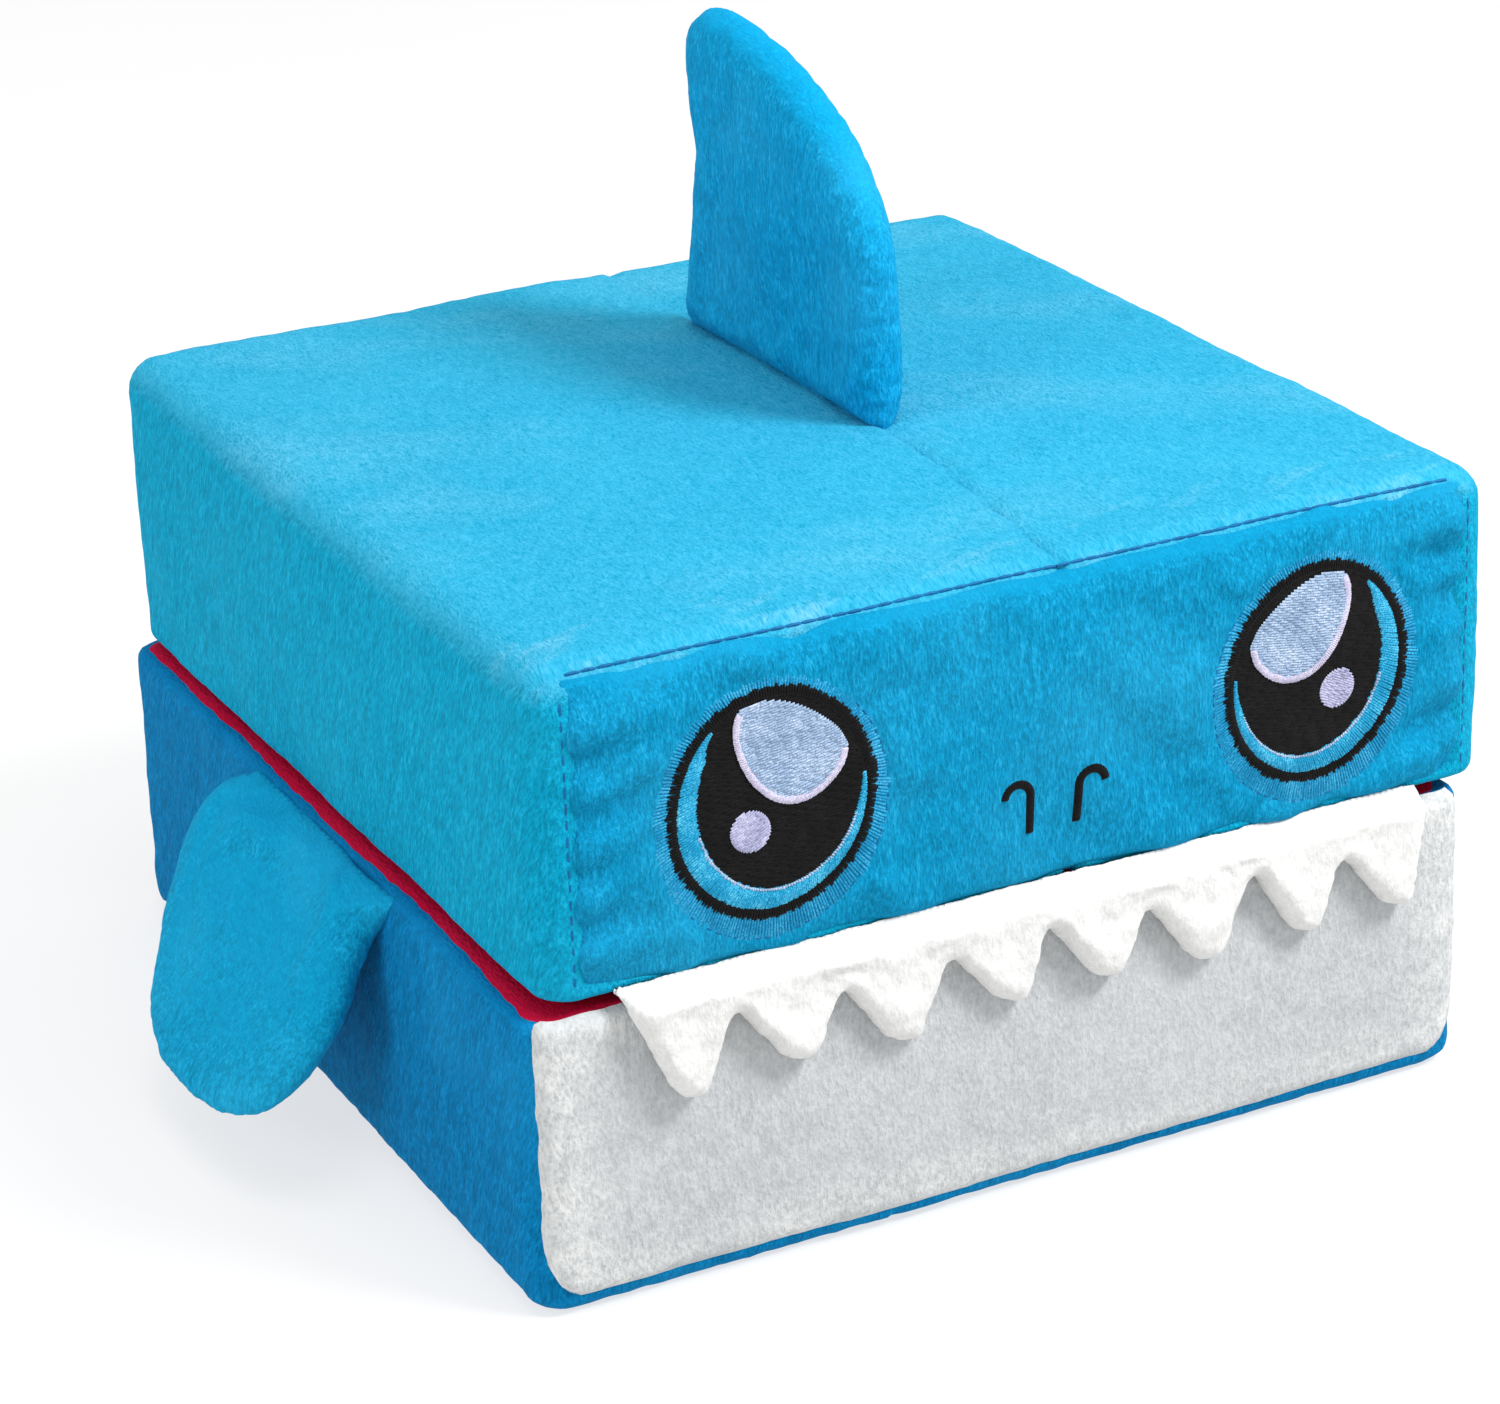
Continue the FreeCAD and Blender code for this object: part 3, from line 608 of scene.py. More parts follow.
def make_studio():
    """A white floor, a pale surround, and three broad lamps."""
    world = bpy.data.worlds.new("surround")
    bpy.context.scene.world = world
    world.use_nodes = True
    sky = world.node_tree.nodes["Background"].inputs
    sky["Color"].default_value = WHITE
    sky["Strength"].default_value = SURROUND
    for name, (at, size, power) in LAMPS.items():
        make_lamp(name, at, size, power)
    bpy.context.scene.view_settings.view_transform = "Standard"
    make_floor()


# ---------------------------------------------------------------- panels laid over the foam

# A panel's height over the skin behind it, how broadly it rolls over, and how deep it dives into its seam.
PANEL_RISE = 1.1 * MM
SEAM_ROLL = 3.2 * MM
SEAM_DEPTH = 1.3 * MM
# How far the skin draws back under a panel, and how far the centre seam bends to the nose.
TUCK_DEPTH = 2.4 * MM
SEAM_BEND = 7 * MM
# The face panel's own edges: inside the corners, and from under the lip to the top edge's seam.
FACE_HALF = HALF[0] - CORNER + 0.1 * CORNER * math.pi / 2
FACE_RUNS = (0.5 * LID.lip_run, LID.run - 0.42 * EDGE * math.pi / 2)
# The grey panel goes part of the way round both corners, and stops short of the bottom edge.
BELLY_HALF = HALF[0] - CORNER + 0.62 * CORNER * math.pi / 2
BELLY_RUNS = (0.2 * BASE.lip_run, BASE.run - 0.75 * BASE_EDGE * math.pi / 2)
BELLY_CORNER = 15 * MM
# The face's folds: rays round the eyes, gathers in the seams, level folds at the ends, and slanted ones.
PUCKER_DEPTH = 1.2 * MM
EYE_SINK = 0.6 * MM
GATHER_DEPTH = 0.6 * MM
FOLD_PITCH = 14 * MM
FOLD_DEPTH = 1.9 * MM
SLANT_PITCH = 36 * MM


def panel_lift(distance):
    """Height of a panel above the skin behind it: it dives into its seam at the edge."""
    risen = smooth_step(distance / SEAM_ROLL)
    return PANEL_RISE * risen - SEAM_DEPTH * (1 - risen)


def front_panel(name, half, runs, reach, extra, slot, open_start=False):
    """A sewn panel over the front wall. reach gives its half width at each length along the wall.

    With open_start its first edge runs on under the mouth's lining and isn't drawn into a seam.
    """
    widest = reach(np.array([(runs[0] + runs[1]) / 2]))[0]
    columns = int(2 * widest / (0.8 * CELL))
    rows = int((runs[1] - runs[0]) / (0.8 * CELL))
    share, run = np.meshgrid(np.linspace(-1, 1, columns + 1), np.linspace(*runs, rows + 1))
    share, run = share.ravel(), run.ravel()
    limit = reach(run)
    across = share * limit
    points, normals = half.front(across, run)
    started = np.full(len(run), np.inf) if open_start else run - runs[0]
    distance = np.minimum.reduce([limit - np.abs(across), started, runs[1] - run])
    lift = half.swell(points, normals) + panel_lift(distance) + extra(points, distance)
    points = half.settled(points + normals * lift[:, None])
    faces = grid_faces(rows, columns)
    if half.way < 0:
        faces = [face[::-1] for face in faces]
    return mesh_piece(name, points, faces, half.body, slot)


def eye_centre(sign):
    return NOSE_X + sign * EYE_SPREAD, EYE_HEIGHT


def halo_distance(x, z, sign):
    """Rough distance outside an eye's halo, and the direction from its centre."""
    centre_x, centre_z = eye_centre(sign)
    across, up = (x - centre_x) / HALO_SIZE[0], (z - centre_z + HALO_DROP) / HALO_SIZE[1]
    return (np.hypot(across, up) - 1) * HALO_SIZE[0], np.arctan2(up, across)


def puckers(points, distance):
    """Cloth drawn in by the dense stitching: rays round each eye, gathers along the seams, and soft folds."""
    x, z = points[:, 0], points[:, 2]
    total = 0.5 * MM * ripple(points, 22 * MM, 12.0)
    beside_eyes = np.ones(len(points))
    broken = ripple(points, 11 * MM, 3.0)
    for sign in (-1, 1):
        away, turn = halo_distance(x, z, sign)
        out = np.clip(away, 0, None)
        rays = np.cos(8 * turn + 1.6 * broken + sign) + 0.5 * np.cos(17 * turn + 3 * broken)
        total += PUCKER_DEPTH * rays * np.exp(-out / (14 * MM)) * smooth_step(out / (5 * MM))
        total -= EYE_SINK * (1 - smooth_step(away / (5 * MM) + 0.2))
        beside_eyes *= smooth_step(away / (7 * MM) + 0.1)
    side = np.clip(FACE_HALF - np.abs(x - LID_X), 0, None)
    inward = np.clip(distance, 0, None)
    drawn = np.sin(z / (2.1 * MM) + 4 * ripple(points, 14 * MM, 8.0))
    drawn += 2.6 * np.sin(z / (1.1 * MM) + 3 * broken)
    top = np.sin(x / (3.4 * MM) + 5 * ripple(points, 25 * MM, 9.0))
    level = np.sin(2 * math.pi * z / FOLD_PITCH + 2.4 * ripple(points, 40 * MM, 15.0))
    slanted = np.sin(2 * math.pi * (x + z) / SLANT_PITCH + 2 * ripple(points, 45 * MM, 17.0))
    patches = smooth_step(ripple(points, 60 * MM, 18.0) + 0.6)
    gathers = GATHER_DEPTH * (0.3 * drawn * np.exp(-side / (5 * MM)) + 0.5 * top * np.exp(-inward / (6 * MM)))
    folds = FOLD_DEPTH * (level * np.exp(-side / (22 * MM)) + 0.5 * slanted * patches) * beside_eyes
    return total + (gathers + folds) * smooth_step(distance / (2.5 * MM))


def face_surface(x, z):
    """Depth of the face panel's surface at points in front of it."""
    points = np.column_stack([x, np.full(len(x), -HALF[1]), z])
    normals = np.tile([0.0, -1.0, 0.0], (len(x), 1))
    run = LID.lip_run + z - LID.mouth - LIP
    distance = np.minimum.reduce([FACE_HALF - np.abs(x - LID_X), run - FACE_RUNS[0], FACE_RUNS[1] - run])
    return -HALF[1] - LID.swell(points, normals) - panel_lift(distance) - puckers(points, distance)


def face_reach(run):
    return np.full(len(run), FACE_HALF)


def belly_reach(run):
    """Half width of the grey panel, whose two bottom corners are rounded."""
    left = np.clip(BELLY_CORNER - (BELLY_RUNS[1] - run), 0, BELLY_CORNER)
    return BELLY_HALF - BELLY_CORNER + np.sqrt(BELLY_CORNER**2 - left**2)


def belly_texture(points, _):
    return 0.3 * MM * ripple(points, 8 * MM, 21.0) + 0.25 * MM * ripple(points, 3.2 * MM, 22.0)


def tucked_behind(half, points, normals, limit, runs):
    """How far the skin draws back where a panel lies over it."""
    across = np.abs(points[:, 0] - half.centre_x)
    low, high = sorted((half.wall(runs[0])[1], half.wall(runs[1])[1]))
    inside = np.minimum.reduce([limit - across, points[:, 2] - low, high - points[:, 2]])
    facing = normals[:, 1] < -0.25
    return np.where(facing, TUCK_DEPTH * smooth_step((inside - 1.5 * MM) / (3 * MM)), 0)


def centre_seam(y):
    """Where the seam between the lid's halves runs: straight under the fin, then bent to the nose."""
    return FIN_X - SEAM_BEND * smooth_step((FIN_LOW[1] - y) / (FIN_LOW[1] + HALF[1]))


def groove(distance, depth, width):
    """The trough of a sunk seam."""
    return depth * np.exp(-((distance / width) ** 2))


def cover(piece, nodes):
    """Hides the CAD nodes that a padded piece stands in for."""
    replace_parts(piece, *nodes)


def make_lid():
    """The lid's skin in two halves with a sunk centre seam, and the face panel over its front."""
    points, faces, normals = shell(HALF, LID_X, LID.rows(), False)
    lift = LID.swell(points, normals) - tucked_behind(LID, points, normals, FACE_HALF, FACE_RUNS)
    lift += 0.22 * MM * ripple(points, 4.5 * MM, 31.0)
    from_seam = points[:, 0] - centre_seam(points[:, 1])
    lift -= groove(from_seam, SEAM_DEPTH, 1.3 * MM) * (np.abs(normals[:, 0]) < 0.5)
    front_edge = np.hypot(points[:, 1] + HALF[1] - EDGE * 0.4, points[:, 2] - LID.closed + EDGE * 0.4)
    lift -= groove(front_edge, 0.6 * MM, 2.5 * MM) * (np.abs(points[:, 0] - LID_X) < FACE_HALF)
    points = points + normals * lift[:, None]
    centres = np.array([points[list(face)].mean(0) for face in faces])
    on_left = centres[:, 0] < centre_seam(centres[:, 1])
    for side, kept in (("left", on_left), ("right", ~on_left)):
        skin = mesh_piece(f"lid_skin_{side}", *piece_of(points, faces, kept), "lid", "lid_plush")
        cover(skin, [f"lid_cover_{side}"])
    face = front_panel("face", LID, FACE_RUNS, face_reach, puckers, "face_plush")
    cover(face, ["face_panel"])


def make_base():
    """The base's blue skin and the grey panel over its front."""
    points, faces, normals = shell(HALF, 0.0, BASE.rows(), True)
    lift = BASE.swell(points, normals)
    lift -= tucked_behind(BASE, points, normals, BELLY_HALF - 4 * MM, BELLY_RUNS)
    resting = points[:, 2] < 0.6 * MM
    lift += np.where(resting, 0, 0.35 * MM * ripple(points, 4.5 * MM, 41.0))
    points = points + normals * lift[:, None]
    points[:, 2] = np.maximum(points[:, 2], 0)
    skin = mesh_piece("base_skin", BASE.settled(points), faces, "base", "base_plush")
    cover(skin, ["base_cover_left", "base_cover_right", "base_cover_back", "base_cover_bottom"])
    belly = front_panel("belly", BASE, BELLY_RUNS, belly_reach, belly_texture, "belly_plush", open_start=True)
    cover(belly, ["base_front_panel"])


def lining_rows(half, floor):
    """A rolled rim over the wall's top, the inner wall, and the floor or ceiling.

    The rows are worked out in mm, as inset, rise out of the mouth, and corner.
    """
    wall = (HALF[0] - CAVITY_HALF[0]) / MM
    deep = abs(floor - half.mouth) / MM
    rim = [(2.2, -2.2, 7.6), (2.5, -1.2, 7.4), (3.2, -0.3, 6.6), (5.0, 0.4, 6.0)]
    rim += [(inset, 0.8, 5.0) for inset in np.linspace(7.5, wall - 3, 5)]
    rim += [(wall - 1, 0.2, 5.0), (wall - 0.2, -1.2, 5.0)]
    walls = [(wall, -depth, 5.0) for depth in np.linspace(3, deep - 6, int(deep / 3))]
    foot = [(wall + 0.6, 3 - deep, 4.0), (wall + 2.4, 1 - deep, 2.5), (wall + 5, -deep, 0)]
    return [
        (inset * MM, half.mouth - half.way * rise * MM, corner * MM)
        for inset, rise, corner in rim + walls + foot
    ]


def make_linings():
    """Crimson plush that lines both hollows and turns out over their rims."""
    for half, floor in ((BASE, CAVITY_FLOOR), (LID, CAVITY_CEILING)):
        points, faces, normals = shell(HALF, half.centre_x, lining_rows(half, floor), half.way > 0)
        soft = 0.45 * ripple(points, 26 * MM, 51.0) + 0.2 * ripple(points, 5 * MM, 52.0)
        room = np.where(np.abs(points[:, 2] - half.mouth) < 4 * MM, 0.35, 1.0)
        points = half.settled(points + normals * (room * soft * MM)[:, None])
        lining = mesh_piece(f"{half.body}_mouth", points, faces, half.body, "mouth_plush")
        cover(lining, [f"{half.body}_lining"])


# ---------------------------------------------------------------- fins and teeth

# Shares of the fin's length and height, from the front of the root over the tip to the back of the root.
DORSAL_LINE = (
    (0, 0), (-0.01, 0.3), (0.0, 0.53), (0.083, 0.70), (0.21, 0.82), (0.416, 0.925), (0.66, 0.985), (0.8, 1.0),
    (0.9, 0.965), (0.948, 0.87), (0.925, 0.72), (0.908, 0.6), (0.915, 0.48), (0.94, 0.3), (0.98, 0.1), (1, 0),
)
PECTORAL_LINE = (
    (-0.51, 0), (-0.47, 0.09), (-0.455, 0.22), (-0.5, 0.45), (-0.49, 0.62), (-0.44, 0.78), (-0.33, 0.91),
    (-0.16, 0.985), (0.02, 1.0), (0.16, 0.975), (0.28, 0.86), (0.4, 0.62), (0.47, 0.4), (0.485, 0.25),
    (0.44, 0.1), (0.36, 0.02), (0.33, 0),
)
CURVE_STEPS = 8
FIN_CELL = 3.0 * MM
FIN_GIVE = 1.3 * MM
# How far the dorsal fin's root is sunk in the lid, and how far the fin bends to one side and back.
DORSAL_SUNK = 1.5 * MM
DORSAL_BEND = 3.0 * MM
DORSAL_RIM = 10 * MM
# How a pectoral fin hangs, its thickness and rim, and how its root sits on the rounded lip.
PECTORAL_HANG = math.radians(33)
PECTORAL_THICK = 10 * MM
PECTORAL_RIM = 11 * MM
ROOT_RAISED = 1.7 * MM
SHOULDER = 0.6 * MM
PECTORAL_FOLD = 2.2 * MM

TOOTH_COUNT = 8
TOOTH_CELL = 1.7 * MM
TOOTH_GIVE = 1.6 * MM
TOOTH_RIM = 5.0 * MM
# Height of the band above the notches, and how much deeper the first tooth is.
TOOTH_BAND = 13 * MM
FIRST_TOOTH_EXTRA = 2.5 * MM
# From the last tip to the strip's end, and from a tip back to its notch as a share of the pitch.
TEETH_END_RUN = 7 * MM
TOOTH_LEAN = 0.64
# A blunt tip: its two corners and their roundings, and the roundings of the notches and of the strip's ends.
TIP_BACK, TIP_RAISED, TIP_AHEAD = 4.6 * MM, 1.6 * MM, 3.0 * MM
TIP_ROUND, NOTCH_ROUND, END_ROUND = 3.4 * MM, 2.2 * MM, 0.5 * MM
# The strip's top edge: where it is sewn in under the lid, and the length over which it turns down from there.
TOOTH_TOP_Y = -HALF[1] + 0.3 * MM
TOOTH_TOP_RISE = 2.4 * MM
TOOTH_TURN = 4.5 * MM

# The share of its sideways movement that a stuffed piece keeps, so that its outline stays true.
SIDEWAYS_SHARE = 0.3
SIMULATED_STEPS = 20
CLOTH = {
    "use_pressure": True,
    "vertex_group_mass": "held",
    "quality": 6,
    "mass": 0.15,
    "tension_stiffness": 25,
    "compression_stiffness": 25,
    "bending_stiffness": 0.3,
    "shrink_min": -0.03,
}


def curve_through(points, per_span):
    """A smooth open line through points: Catmull-Rom spans."""
    points = [np.array(p, float) for p in points]
    ends = [2 * points[0] - points[1], *points, 2 * points[-1] - points[-2]]
    line = []
    for a, b, c, d in zip(ends, ends[1:], ends[2:], ends[3:]):
        for t in np.linspace(0, 1, per_span, endpoint=False):
            square, cube = 2 * a - 5 * b + 4 * c - d, 3 * b - a - 3 * c + d
            line.append(0.5 * (2 * b + (c - a) * t + square * t**2 + cube * t**3))
    return np.array(line + [points[-1]])


def rounded(corners, per_corner):
    """A closed outline of straight flanks. Each corner is given with the length its rounding takes up."""
    line = []
    for before, (x, y, cut), after in zip(corners[-1:] + corners[:-1], corners, corners[1:] + corners[:1]):
        at = np.array([x, y])
        start, end = (
            at + (other - at) * min(0.48, cut / np.linalg.norm(other - at))
            for other in (np.array(before[:2]), np.array(after[:2]))
        )
        for t in np.linspace(0, 1, per_corner):
            line.append((1 - t) ** 2 * start + 2 * t * (1 - t) * at + t**2 * end)
    return np.array(line)


def spaced(line, step):
    """Even points along a closed line."""
    closed = np.vstack([line, line[:1]])
    along = lengths_along(closed)
    at = np.linspace(0, along[-1], int(along[-1] / step), endpoint=False)
    return np.column_stack([np.interp(at, along, closed[:, k]) for k in (0, 1)])


def edge_distance(points, outline):
    """Distance from each point to a closed outline."""
    best = np.full(len(points), np.inf)
    for a, b in zip(outline, np.roll(outline, -1, axis=0)):
        way = b - a
        t = np.clip(((points - a) @ way) / (way @ way), 0, 1)
        best = np.minimum(best, np.linalg.norm(points - a - t[:, None] * way, axis=1))
    return best


def faces_area(flat, faces):
    """Twice the area of flat triangles, below zero if they go round clockwise."""
    a, b, c = (flat[[face[k] for face in faces]] for k in range(3))
    return ((b[:, 0] - a[:, 0]) * (c[:, 1] - a[:, 1]) - (c[:, 0] - a[:, 0]) * (b[:, 1] - a[:, 1])).sum()


def pillow(outline, step, thickness, rim):
    """Two layers of cloth sewn along an outline and stuffed. Returns points (across, down, out) and faces."""
    border = spaced(outline, step)
    low, high = border.min(0), border.max(0)
    rows = np.arange(low[1], high[1], step * 0.87)
    columns = np.arange(low[0], high[0], step)
    inner = np.array([(x + (step / 2 if j % 2 else 0), y) for j, y in enumerate(rows) for x in columns])
    inner = inner[edge_distance(inner, border) > 0.6 * step]
    count = len(border)
    edges = [(i, (i + 1) % count) for i in range(count)]
    flat, _, faces, _, _, _ = geometry.delaunay_2d_cdt(
        [Vector(p) for p in np.vstack([border, inner])], edges, [tuple(range(count))], 1, 1e-7
    )
    flat, faces = np.array(flat), [tuple(face) for face in faces]
    if faces_area(flat, faces) < 0:
        faces = [face[::-1] for face in faces]
    distance = edge_distance(flat, border)
    height = thickness / 2 * np.sqrt(np.clip(1 - (1 - np.clip(distance / rim, 0, 1)) ** 2, 0, 1))
    free = np.flatnonzero(distance >= 1e-7)
    points = np.vstack([np.column_stack([flat, height]), np.column_stack([flat[free], -height[free]])])
    behind = np.arange(len(flat))
    behind[free] = len(flat) + np.arange(len(free))
    return points, faces + [tuple(behind[list(face[::-1])]) for face in faces]


def stuffed(points, faces, pinned, cap, pressure):
    """Cloth simulation under inner pressure, from a slightly slack start, with its movement capped."""
    scene = bpy.context.scene
    mesh = bpy.data.meshes.new("stuffed")
    mesh.from_pydata(points.tolist(), [], faces)
    thing = bpy.data.objects.new("stuffed", mesh)
    scene.collection.objects.link(thing)
    held = thing.vertex_groups.new(name="held")
    held.add([int(i) for i in np.flatnonzero(pinned)], 1.0, "REPLACE")
    cloth = thing.modifiers.new("cloth", "CLOTH")
    for name, value in CLOTH.items():
        setattr(cloth.settings, name, value)
    cloth.settings.uniform_pressure_force = pressure
    cloth.settings.effector_weights.gravity = 0
    cloth.point_cache.frame_start, cloth.point_cache.frame_end = 1, SIMULATED_STEPS
    for step in range(1, SIMULATED_STEPS + 1):
        scene.frame_set(step)
    shape = thing.evaluated_get(bpy.context.evaluated_depsgraph_get()).to_mesh()
    moved = np.array([vertex.co for vertex in shape.vertices]) - points
    bpy.data.objects.remove(thing)
    scene.frame_set(1)
    moved[:, :2] *= SIDEWAYS_SHARE
    length = np.linalg.norm(moved, axis=1, keepdims=True)
    return points + moved * np.minimum(1, cap / np.maximum(length, 1e-9))


def roughened(soft, normals, lumps):
    """Points moved along their normals by ripples, each given by its height and size in mm and its seed."""
    total = sum(high * MM * ripple(soft, size * MM, seed) for high, size, seed in lumps)
    return soft + normals * total[:, None]


def fin(name, outline, thickness, rim, axes, root, slot, nodes, bend):
    """A stuffed fin in its own plane: across, away from the root, and out. Its root is held still while it is
    stuffed.
    """
    points, faces = pillow(outline, FIN_CELL, thickness, rim)
    points = stuffed(points, faces, points[:, 1] < 1.0 * MM, FIN_GIVE, 4.0)
    points[:, 2] *= smooth_step(0.4 + points[:, 1] / (14 * MM))
    points[:, 2] += bend(points[:, 0], points[:, 1])
    piece = mesh_piece(name, root + points @ np.array(axes), faces, None, slot)
    soft = roughened(*smoothed(piece), ((0.3, 9, 61.0), (0.18, 3.5, 62.0)))
    piece.data.vertices.foreach_set("co", soft.ravel())
    cover(piece, nodes)
    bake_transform(piece)


def make_dorsal_fin():
    """The fin on the lid, upright and along the body."""
    size = np.array([FIN_HIGH[1] - FIN_LOW[1], FIN_HIGH[2] - LID.closed + DORSAL_SUNK])

    def bend(along, up):
        return DORSAL_BEND * np.sin(up / size[1] * 2.2) * (along / size[0] - 0.4)

    root = np.array([FIN_X, FIN_LOW[1], LID.closed - DORSAL_SUNK])
    nodes = ["dorsal_fin_left_cover", "dorsal_fin_right_cover", "dorsal_fin_filling"]
    fin("dorsal_fin", curve_through(DORSAL_LINE, CURVE_STEPS) * size, FIN_HIGH[0] - FIN_LOW[0], DORSAL_RIM,
        ((0, 1, 0), (0, 0, 1), (1, 0, 0)), root, "dorsal_plush", nodes, bend)


def pectoral_bend(across, down):
    """A soft fold near the front of the root, and the root drawn in to its seam."""
    fold = PECTORAL_FOLD * np.exp(-(((across + 34 * MM) / (9 * MM)) ** 2)) * np.exp(-down / (26 * MM))
    return fold - SHOULDER * (1 - smooth_step(down / (14 * MM)))


def make_pectoral_fin(side, sign):
    """A fin that hangs out and down from the base's side seam."""
    nodes = [f"pectoral_fin_{side}_{part}" for part in ("outer_cover", "inner_cover", "filling")]
    low, high = span(*nodes)
    pivot = np.array(joint(f"pectoral_fin_{side}_lift")["pos_m"])
    lean, fall = math.sin(PECTORAL_HANG), math.cos(PECTORAL_HANG)
    drop = (pivot[2] - low[2]) / fall - 2 * MM
    outline = curve_through(PECTORAL_LINE, CURVE_STEPS) * [high[1] - low[1], drop + 1.5 * MM]
    axes = ((0, 1, 0), (sign * lean, 0, -fall), (sign * fall, 0, lean))
    root = pivot - [sign * LIP, 0, -ROOT_RAISED]
    fin(f"pectoral_fin_{side}", outline, PECTORAL_THICK, PECTORAL_RIM, axes, root, "pectoral_plush",
        nodes, pectoral_bend)


def teeth_corners(low, high, drop):
    """Corners of the strip's outline, across and down, each with the length of its rounding."""
    rough = random.Random(4)
    pitch = (high[0] - low[0]) / (TOOTH_COUNT - 0.07)
    last = high[0] - TEETH_END_RUN
    corners = [(low[0], 0.0, END_ROUND)]
    for tooth in range(TOOTH_COUNT):
        tip = last - pitch * (TOOTH_COUNT - 1 - tooth) + rough.uniform(-1.4, 1.4) * MM
        deep = drop + rough.uniform(1.5, 5.0) * MM + (0 if tooth else FIRST_TOOTH_EXTRA)
        if tooth:
            band = TOOTH_BAND + rough.uniform(-1.2, 1.2) * MM
            corners.append((tip - TOOTH_LEAN * pitch, band - 1.5 * MM, NOTCH_ROUND))
        corners += [(tip - TIP_BACK, deep - TIP_RAISED, TIP_ROUND), (tip + TIP_AHEAD, deep, TIP_ROUND)]
    return corners + [(high[0], 0.0, END_ROUND)]


def make_teeth():
    """A padded white strip whose lower edge is cut into leaning teeth with rounded tips."""
    nodes = ["teeth_front_cover", "teeth_back_cover", "teeth_filling"]
    low, high = span(*nodes[:2])
    drop = high[2] - low[2]
    outline = rounded(teeth_corners(low, high, drop), 6)
    points, faces = pillow(outline, TOOTH_CELL, high[1] - low[1], TOOTH_RIM)
    across, down, out = stuffed(points, faces, points[:, 1] < 0.5 * MM, TOOTH_GIVE, 5.0).T
    middle = (low[1] + high[1]) / 2
    below = smooth_step(down / TOOTH_TURN)
    back = middle + (TOOTH_TOP_Y - middle) * (1 - below)
    lean = 0.6 * MM * np.sin(across / (15 * MM)) * down / drop
    depth = back - out * (0.2 + 0.8 * below) - lean
    placed = np.column_stack([across, depth, high[2] + TOOTH_TOP_RISE - down])
    piece = mesh_piece("teeth", placed, faces, None, "teeth_plush")
    soft = roughened(*smoothed(piece), ((0.35, 6, 71.0), (0.2, 2.4, 72.0)))
    soft[:, 1] = np.minimum(soft[:, 1], high[1] - 0.2 * MM)
    piece.data.vertices.foreach_set("co", soft.ravel())
    cover(piece, nodes)
    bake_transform(piece)


# ---------------------------------------------------------------- thread

# The large highlight of the left eye, in mm from the eye's centre; its last point is its tip.
GLINT_LINE = (
    (19.0, 10.2), (16.0, 15.2), (8.5, 21.2), (1.0, 24.2), (-6.0, 24.0), (-8.6, 20.5), (-8.4, 14.0),
    (-5.2, 6.2), (0.5, 0.6), (7.0, -1.0), (13.0, 1.0), (17.5, 5.4), (19.0, 10.2),
)
# The pale border round its lower side: the shares of the line it runs between, its strands and its width.
GLINT_BORDER = (0.38, 0.99)
BORDER_STRANDS = 110
BORDER_WIDE = 1.7 * MM
GLINT_SLOPE, SPOT_SLOPE = 0.16, 0.5
SPOT_AT = np.array([-5.8, -5.4]) * MM
SPOT_RADIUS = 4.9 * MM
PUPIL_SIZE = np.array([20.2, 22.4]) * MM
PUPIL_SHIFT = np.array([1.7, 1.9]) * MM
# Turns that the crescent, its inner line of light and the halo's edge line run between, and the turn over
# which the crescent thins out at each end.
CRESCENT_FROM, CRESCENT_TO = math.radians(128), math.radians(366)
CRESCENT_THIN = math.radians(22)
LIGHT_TURNS = (math.radians(196), math.radians(338))
EDGE_TURNS = (-2.4, 0.7)
EDGE_STITCH, EDGE_PITCH = 0.085, 0.09
RING_LINE = 2.1 * MM
PITCH = 0.7 * MM
# Each field's thread: its width and height, and how far the field stands off the face, in mm, and its look.
FIELDS = {
    "halo": (0.74, 0.5, 0.0, "blue_thread"),
    "edge": (0.5, 0.3, 0.05, "blue_thread_dark"),
    "nostril": (0.7, 0.6, 0.15, "black_thread"),
    "pupil": (0.84, 0.3, 0.2, "black_thread"),
    "crescent": (0.74, 0.5, 0.35, "bright_thread"),
    "outline": (0.72, 0.45, 0.45, "black_thread"),
    "highlight": (0.66, 0.35, 0.5, "sky_thread"),
    "spot": (0.62, 0.35, 0.5, "pale_thread"),
    "border": (0.6, 0.4, 0.65, "lilac_thread"),
}
# A laid thread's section: offset as a share of half its width, and height as a share of its full height.
THREAD_SECTION = ((-1, 0), (-0.6, 0.75), (0, 1), (0.6, 0.75), (1, 0))
THREAD_SUNK = 0.15 * MM
THREAD_CELL = 1.2 * MM
NOSTRIL_HALF_LINE = 0.7 * MM
NOSTRIL_REACH = 1.1 * MM

# The seams' dark stitches nearly touch. They are stitching, and they also paint the shade in the seam's groove.
# Stitches of the seams: length, pitch, radius, arch, how deep the row lies, and the mesh of each.
STITCH = 3.6 * MM
STITCH_PITCH = 3.8 * MM
STITCH_RADIUS = 0.42 * MM
STITCH_ARCH = 0.35 * MM
STITCH_SUNK = 0.6 * MM
STITCH_SIDES, STITCH_MARKS = 6, 5

# The hinge cloth: its reach from the hinge line, thickness, mesh, and the border over which it is sewn down.
HINGE_REACH = 17 * MM
HINGE_THICK = 1.2 * MM
HINGE_ROWS, HINGE_COLUMNS = 18, 100
HINGE_SEWN = 4 * MM


